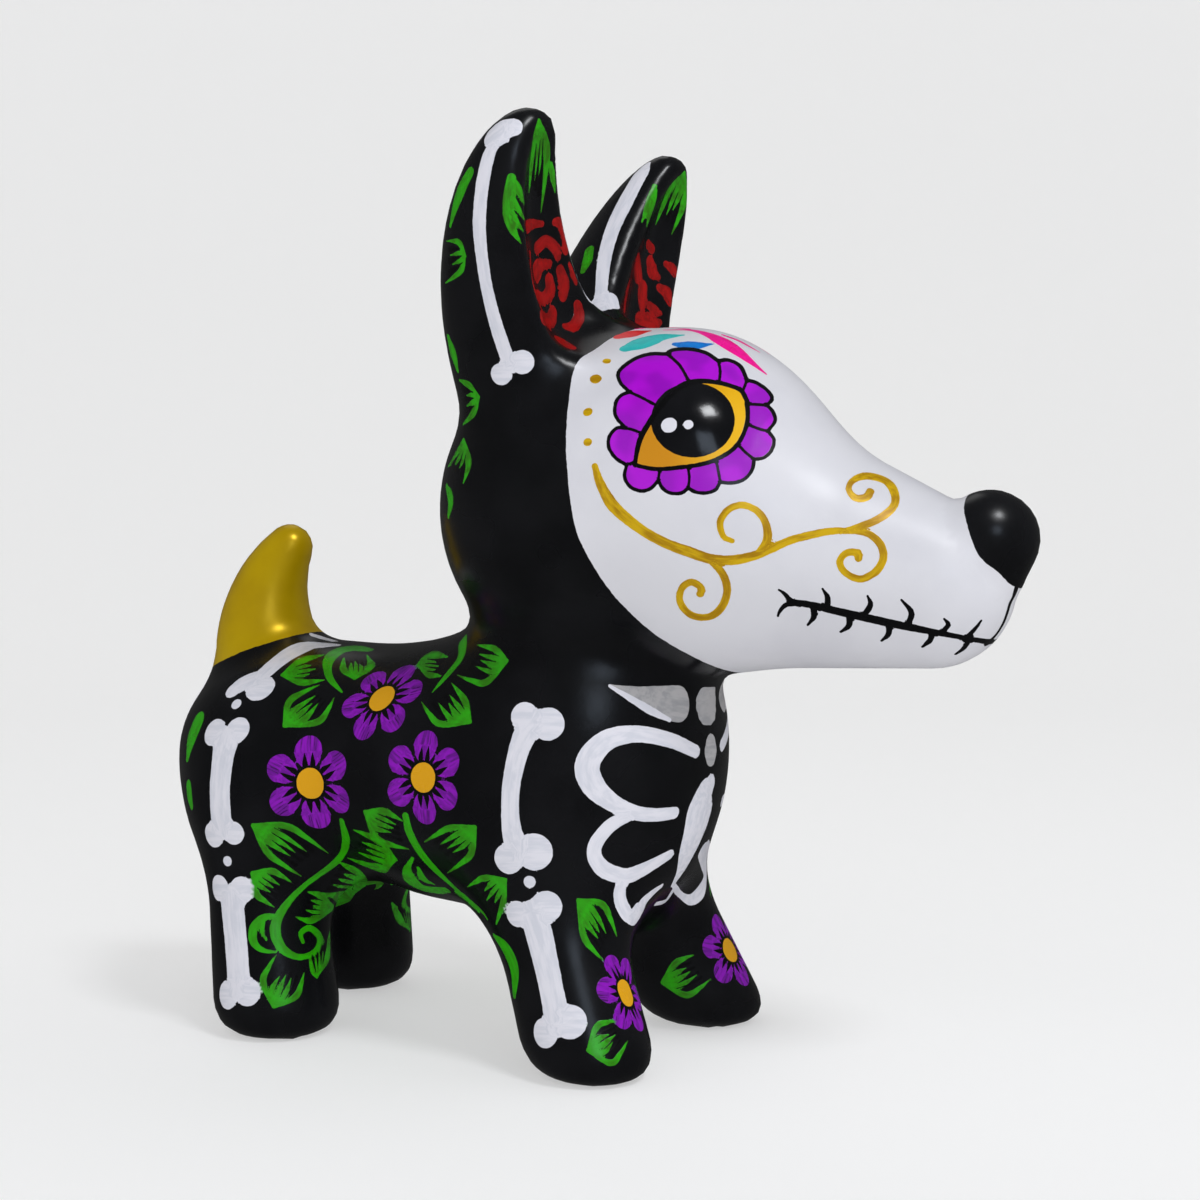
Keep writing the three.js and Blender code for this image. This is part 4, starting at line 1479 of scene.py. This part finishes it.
# %% Wire nodes
paint = bpy.data.materials.new("painted_ceramic")
paint.use_nodes = True
nodes = paint.node_tree.nodes
links = paint.node_tree.links
shader = nodes["Principled BSDF"]


def wire(source, socket):
    """Links a node's output to an input, or sets the input where the source is a plain value."""
    if isinstance(source, bpy.types.NodeSocket):
        links.new(source, socket)
    else:
        socket.default_value = source


def reckon(operation, *values):
    """A Math node: the operation on one or two values."""
    node = nodes.new("ShaderNodeMath")
    node.operation = operation
    for value, socket in zip(values, node.inputs):
        wire(value, socket)
    return node.outputs[0]


def plus(a, b):
    """a + b."""
    return reckon("ADD", a, b)


def minus(a, b):
    """a - b."""
    return reckon("SUBTRACT", a, b)


def times(a, b):
    """a times b."""
    return reckon("MULTIPLY", a, b)


def blended(share, below, above):
    """A Mix node: below at share 0 and above at share 1. It mixes colours where below is a colour, and
    plain values otherwise."""
    node = nodes.new("ShaderNodeMix")
    colours = isinstance(below, tuple) or getattr(below, "type", "") == "RGBA"
    node.data_type, kind = ("RGBA", "RGBA") if colours else ("FLOAT", "VALUE")
    below_slot, above_slot = [slot for slot in node.inputs if slot.type == kind][-2:]
    wire(share, node.inputs[0])
    wire(below, below_slot)
    wire(above, above_slot)
    return next(slot for slot in node.outputs if slot.type == kind)


def ramped(value, low, high):
    """0 at low and 1 at high, eased at both ends: 3t² - 2t³ of the share t between them."""
    node = nodes.new("ShaderNodeMapRange")
    node.interpolation_type = "SMOOTHSTEP"
    for socket, number in zip(node.inputs[:3], (value, low, high)):
        wire(number, socket)
    return node.outputs[0]


def stored(name):
    """An attribute of the figurine: its node, with Color, Vector, Fac and Alpha outputs."""
    node = nodes.new("ShaderNodeAttribute")
    node.attribute_name = name
    return node.outputs


def parts_of(vector):
    """The three parts of a vector."""
    node = nodes.new("ShaderNodeSeparateXYZ")
    wire(vector, node.inputs[0])
    return node.outputs


def packed(x, y, z):
    """A vector of three values."""
    node = nodes.new("ShaderNodeCombineXYZ")
    for value, socket in zip((x, y, z), node.inputs):
        wire(value, socket)
    return node.outputs[0]


def cloudy(vector, scale, detail=2.0, roughness=0.5):
    """Noise from 0 to 1 over a vector, about scale bumps for each unit."""
    node = nodes.new("ShaderNodeTexNoise")
    wire(vector, node.inputs["Vector"])
    node.inputs["Scale"].default_value = scale
    node.inputs["Detail"].default_value = detail
    node.inputs["Roughness"].default_value = roughness
    return node.outputs[0]


skin = nodes.new("ShaderNodeTexCoord").outputs["Object"]
print(len(nodes), "nodes to begin with")

# %% [markdown]
# A brush never ends a colour on a perfect line. The edge of every area and stroke is moved in and out by a
# little noise, and fades over a few hundredths of a millimetre. Noise scales are bumps for each metre,
# because the figurine's own coordinates are in metres.

# %% Find the share of an area
EDGE_SOFTNESS = 0.045
WOBBLE_SCALE = 900.0
WOBBLE_SIZE = 0.22
SLOW_WOBBLE_SCALE = 160.0
SLOW_WOBBLE_SIZE = 0.9
wobble = times(minus(cloudy(skin, WOBBLE_SCALE), 0.5), WOBBLE_SIZE)
slow_wobble = times(minus(cloudy(skin, SLOW_WOBBLE_SCALE), 0.5), SLOW_WOBBLE_SIZE)


def area_share(name, hand_made=0.0):
    """1 inside an area and 0 outside, with the edge moved by noise. Hand made is the share of the slower,
    larger noise that moves it too."""
    edge = plus(stored(name + "_edge")["Fac"], wobble)
    if hand_made:
        edge = plus(edge, times(slow_wobble, hand_made))
    return ramped(edge, EDGE_SOFTNESS, -EDGE_SOFTNESS)


face_share = area_share("face", hand_made=0.6)
nose_share = area_share("nose", hand_made=0.3)
tail_share = area_share("tail", hand_made=0.5)
petals_share = area_share("petals")
almond_share = area_share("almond")
pupil_share = area_share("pupil")
print(len(nodes), "nodes with the areas")

# %% [markdown]
# A stroke's streaks run along it, so their noise reads the stroke's own u and v, far finer across than
# along. Its half width goes in too, so that two strokes side by side don't share their streaks.

# %% Find the share and colour of a layer of strokes
GUARD_SLACK = 0.12
BRISTLE_SCALES = (0.16, 2.3, 5.0)
WASH_SCALES = (0.12, 0.7, 3.0)
THIN_PAINT = -0.06
FULL_PAINT = 0.2
WASH_SHARE = 0.8
WASH_BEGINS = 0.4
WASH_FULL = 0.62


def streaked(u, v, w, scales, roughness):
    """Noise over (u, v, w), each times its scale."""
    stretched = (times(value, scale) for value, scale in zip((u, v, w), scales))
    return cloudy(packed(*stretched), 1.0, 3.0, roughness)


def stroke_coat(layer, streaky):
    """The share of a layer of strokes, its colour, its metal and its brush ridges. The distance outside the
    stroke is the length of (overrun, v) less w, and the guard holds it back where two strokes' numbers
    blend. Bristle marks cut the share where the paint has run thin, and a broader wash brings in the streak
    colour, up to the streaky share."""
    u, rest, v = parts_of(stored(layer + "_place")["Vector"])
    w, guard_edge, cover = parts_of(stored(layer + "_room")["Vector"])
    overrun = reckon("MAXIMUM", reckon("MAXIMUM", times(u, -1.0), times(rest, -1.0)), 0.0)
    squares = plus(times(overrun, overrun), times(v, v))
    outside = minus(reckon("SQRT", squares), w)
    field = plus(reckon("MAXIMUM", outside, minus(guard_edge, GUARD_SLACK)), wobble)
    share = ramped(field, EDGE_SOFTNESS, -EDGE_SOFTNESS)
    bristles = streaked(u, v, w, BRISTLE_SCALES, 0.6)
    wash = streaked(u, v, w, WASH_SCALES, 0.55)
    share = times(share, ramped(minus(cover, bristles), THIN_PAINT, FULL_PAINT))
    marks = plus(times(wash, WASH_SHARE), times(bristles, 1 - WASH_SHARE))
    tone = times(ramped(marks, WASH_BEGINS, WASH_FULL), streaky)
    ink = stored(layer + "_ink")
    colour = blended(tone, ink["Color"], stored(layer + "_streak")["Color"])
    return share, colour, ink["Alpha"], bristles


ground_share, ground_colour, ground_metal, ground_ridges = stroke_coat("ground", streaky=0.75)
over_share, over_colour, _, _ = stroke_coat("over", streaky=0.4)
top_share, top_colour, _, _ = stroke_coat("top", streaky=0.0)
print(len(nodes), "nodes with the strokes")

# %% Mix the broad coats
AMBER_BACK = 34.0
AMBER_FRONT = 46.0
AMBER_DRIFT = 4.0


def clouded(share, first, second):
    """A coat whose two linear colours drift into each other by a share."""
    return blended(share, (*first, 1), (*second, 1))


charcoal_share = ramped(cloudy(skin, 60.0), 0.35, 0.7)
charcoal = clouded(charcoal_share, (0.0035, 0.0037, 0.0048), (0.0065, 0.0067, 0.0082))
chalk_share = ramped(cloudy(skin, 45.0, 3.0), 0.4, 0.75)
chalk = clouded(chalk_share, (0.72, 0.715, 0.755), (0.66, 0.655, 0.70))
violet_share = ramped(cloudy(skin, 110.0, 1.0), 0.44, 0.56)
violet = clouded(violet_share, (0.44, 0.0, 0.66), (0.33, 0.0, 0.54))
ahead = times(parts_of(skin)[1], -1 / MILLIMETRE)
amber_share = ramped(plus(ahead, times(slow_wobble, AMBER_DRIFT)), AMBER_BACK, AMBER_FRONT)
amber = clouded(amber_share, (0.64, 0.26, 0.0), (0.84, 0.46, 0.0))
tail_gold = clouded(cloudy(skin, 90.0, 3.0), (0.55, 0.33, 0.0), (0.82, 0.56, 0.0))
print(len(nodes), "nodes with the broad coats")

# %% [markdown]
# The coats go on in order, once for the colour, once for how metallic the paint is, and once for its gloss.
# Roughness is about 0.27 on the dipped enamel, a little more on brushed paint, on the chalky white and on
# the gold tail, and least on the eye's pupil, which shines most.

# %% Lay on the coats
ENAMEL_ROUGHNESS = 0.2
ROUGHNESS_DRIFT = 0.14
CHALK_ROUGHER = 0.08
TAIL_ROUGHER = 0.08
STROKES_ROUGHER = 0.02
PUPIL_SMOOTHER = 0.1
TAIL_METAL = 0.4

colour = blended(face_share, charcoal, chalk)
colour = blended(nose_share, colour, charcoal)
colour = blended(tail_share, colour, tail_gold)
colour = blended(ground_share, colour, ground_colour)
colour = blended(petals_share, colour, violet)
colour = blended(almond_share, colour, amber)
colour = blended(pupil_share, colour, charcoal)
colour = blended(over_share, colour, over_colour)
colour = blended(top_share, colour, top_colour)

metal = blended(tail_share, 0.0, TAIL_METAL)
metal = blended(ground_share, metal, ground_metal)
metal = blended(petals_share, metal, 0.0)
metal = blended(over_share, metal, 0.0)

enamel = plus(ENAMEL_ROUGHNESS, times(cloudy(skin, 35.0, 3.0), ROUGHNESS_DRIFT))
roughness = blended(face_share, enamel, plus(enamel, CHALK_ROUGHER))
roughness = blended(nose_share, roughness, enamel)
roughness = blended(tail_share, roughness, plus(enamel, TAIL_ROUGHER))
roughness = blended(ground_share, roughness, plus(enamel, STROKES_ROUGHER))
roughness = blended(pupil_share, roughness, minus(enamel, PUPIL_SMOOTHER))
roughness = blended(over_share, roughness, enamel)
print(len(nodes), "nodes with the coats laid on")

# %% [markdown]
# The dipped enamel has a faint orange-peel skin, and every stroke stands a few hundredths of a millimetre
# proud with ridges from the bristles. Both are far below what the mesh should carry, so they are bumps.

# %% Add the relief of the paint
PEEL_SCALE = 420.0
PEEL_HEIGHT = 0.05
RIDGE_HEIGHT = 0.018
GROUND_THICKNESS = 0.03
LINE_THICKNESS = 0.02
RELIEF_STRENGTH = 0.6
GLAZE_IOR = 1.42
orange_peel = times(cloudy(skin, PEEL_SCALE, 2.0), PEEL_HEIGHT)
bristles = times(times(ground_ridges, ground_share), RIDGE_HEIGHT)
body_of_paint = plus(times(ground_share, GROUND_THICKNESS), times(over_share, LINE_THICKNESS))
relief = nodes.new("ShaderNodeBump")
relief.inputs["Distance"].default_value = MILLIMETRE
relief.inputs["Strength"].default_value = RELIEF_STRENGTH
wire(plus(plus(orange_peel, bristles), body_of_paint), relief.inputs["Height"])
wire(colour, shader.inputs["Base Color"])
wire(metal, shader.inputs["Metallic"])
wire(roughness, shader.inputs["Roughness"])
wire(relief.outputs[0], shader.inputs["Normal"])
shader.inputs["IOR"].default_value = GLAZE_IOR
figurine.data.materials.append(paint)
print(len(nodes), "nodes in the painted finish")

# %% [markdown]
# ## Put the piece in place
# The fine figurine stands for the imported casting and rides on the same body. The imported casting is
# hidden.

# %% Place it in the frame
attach(figurine, "root")
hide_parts("dog_figurine")
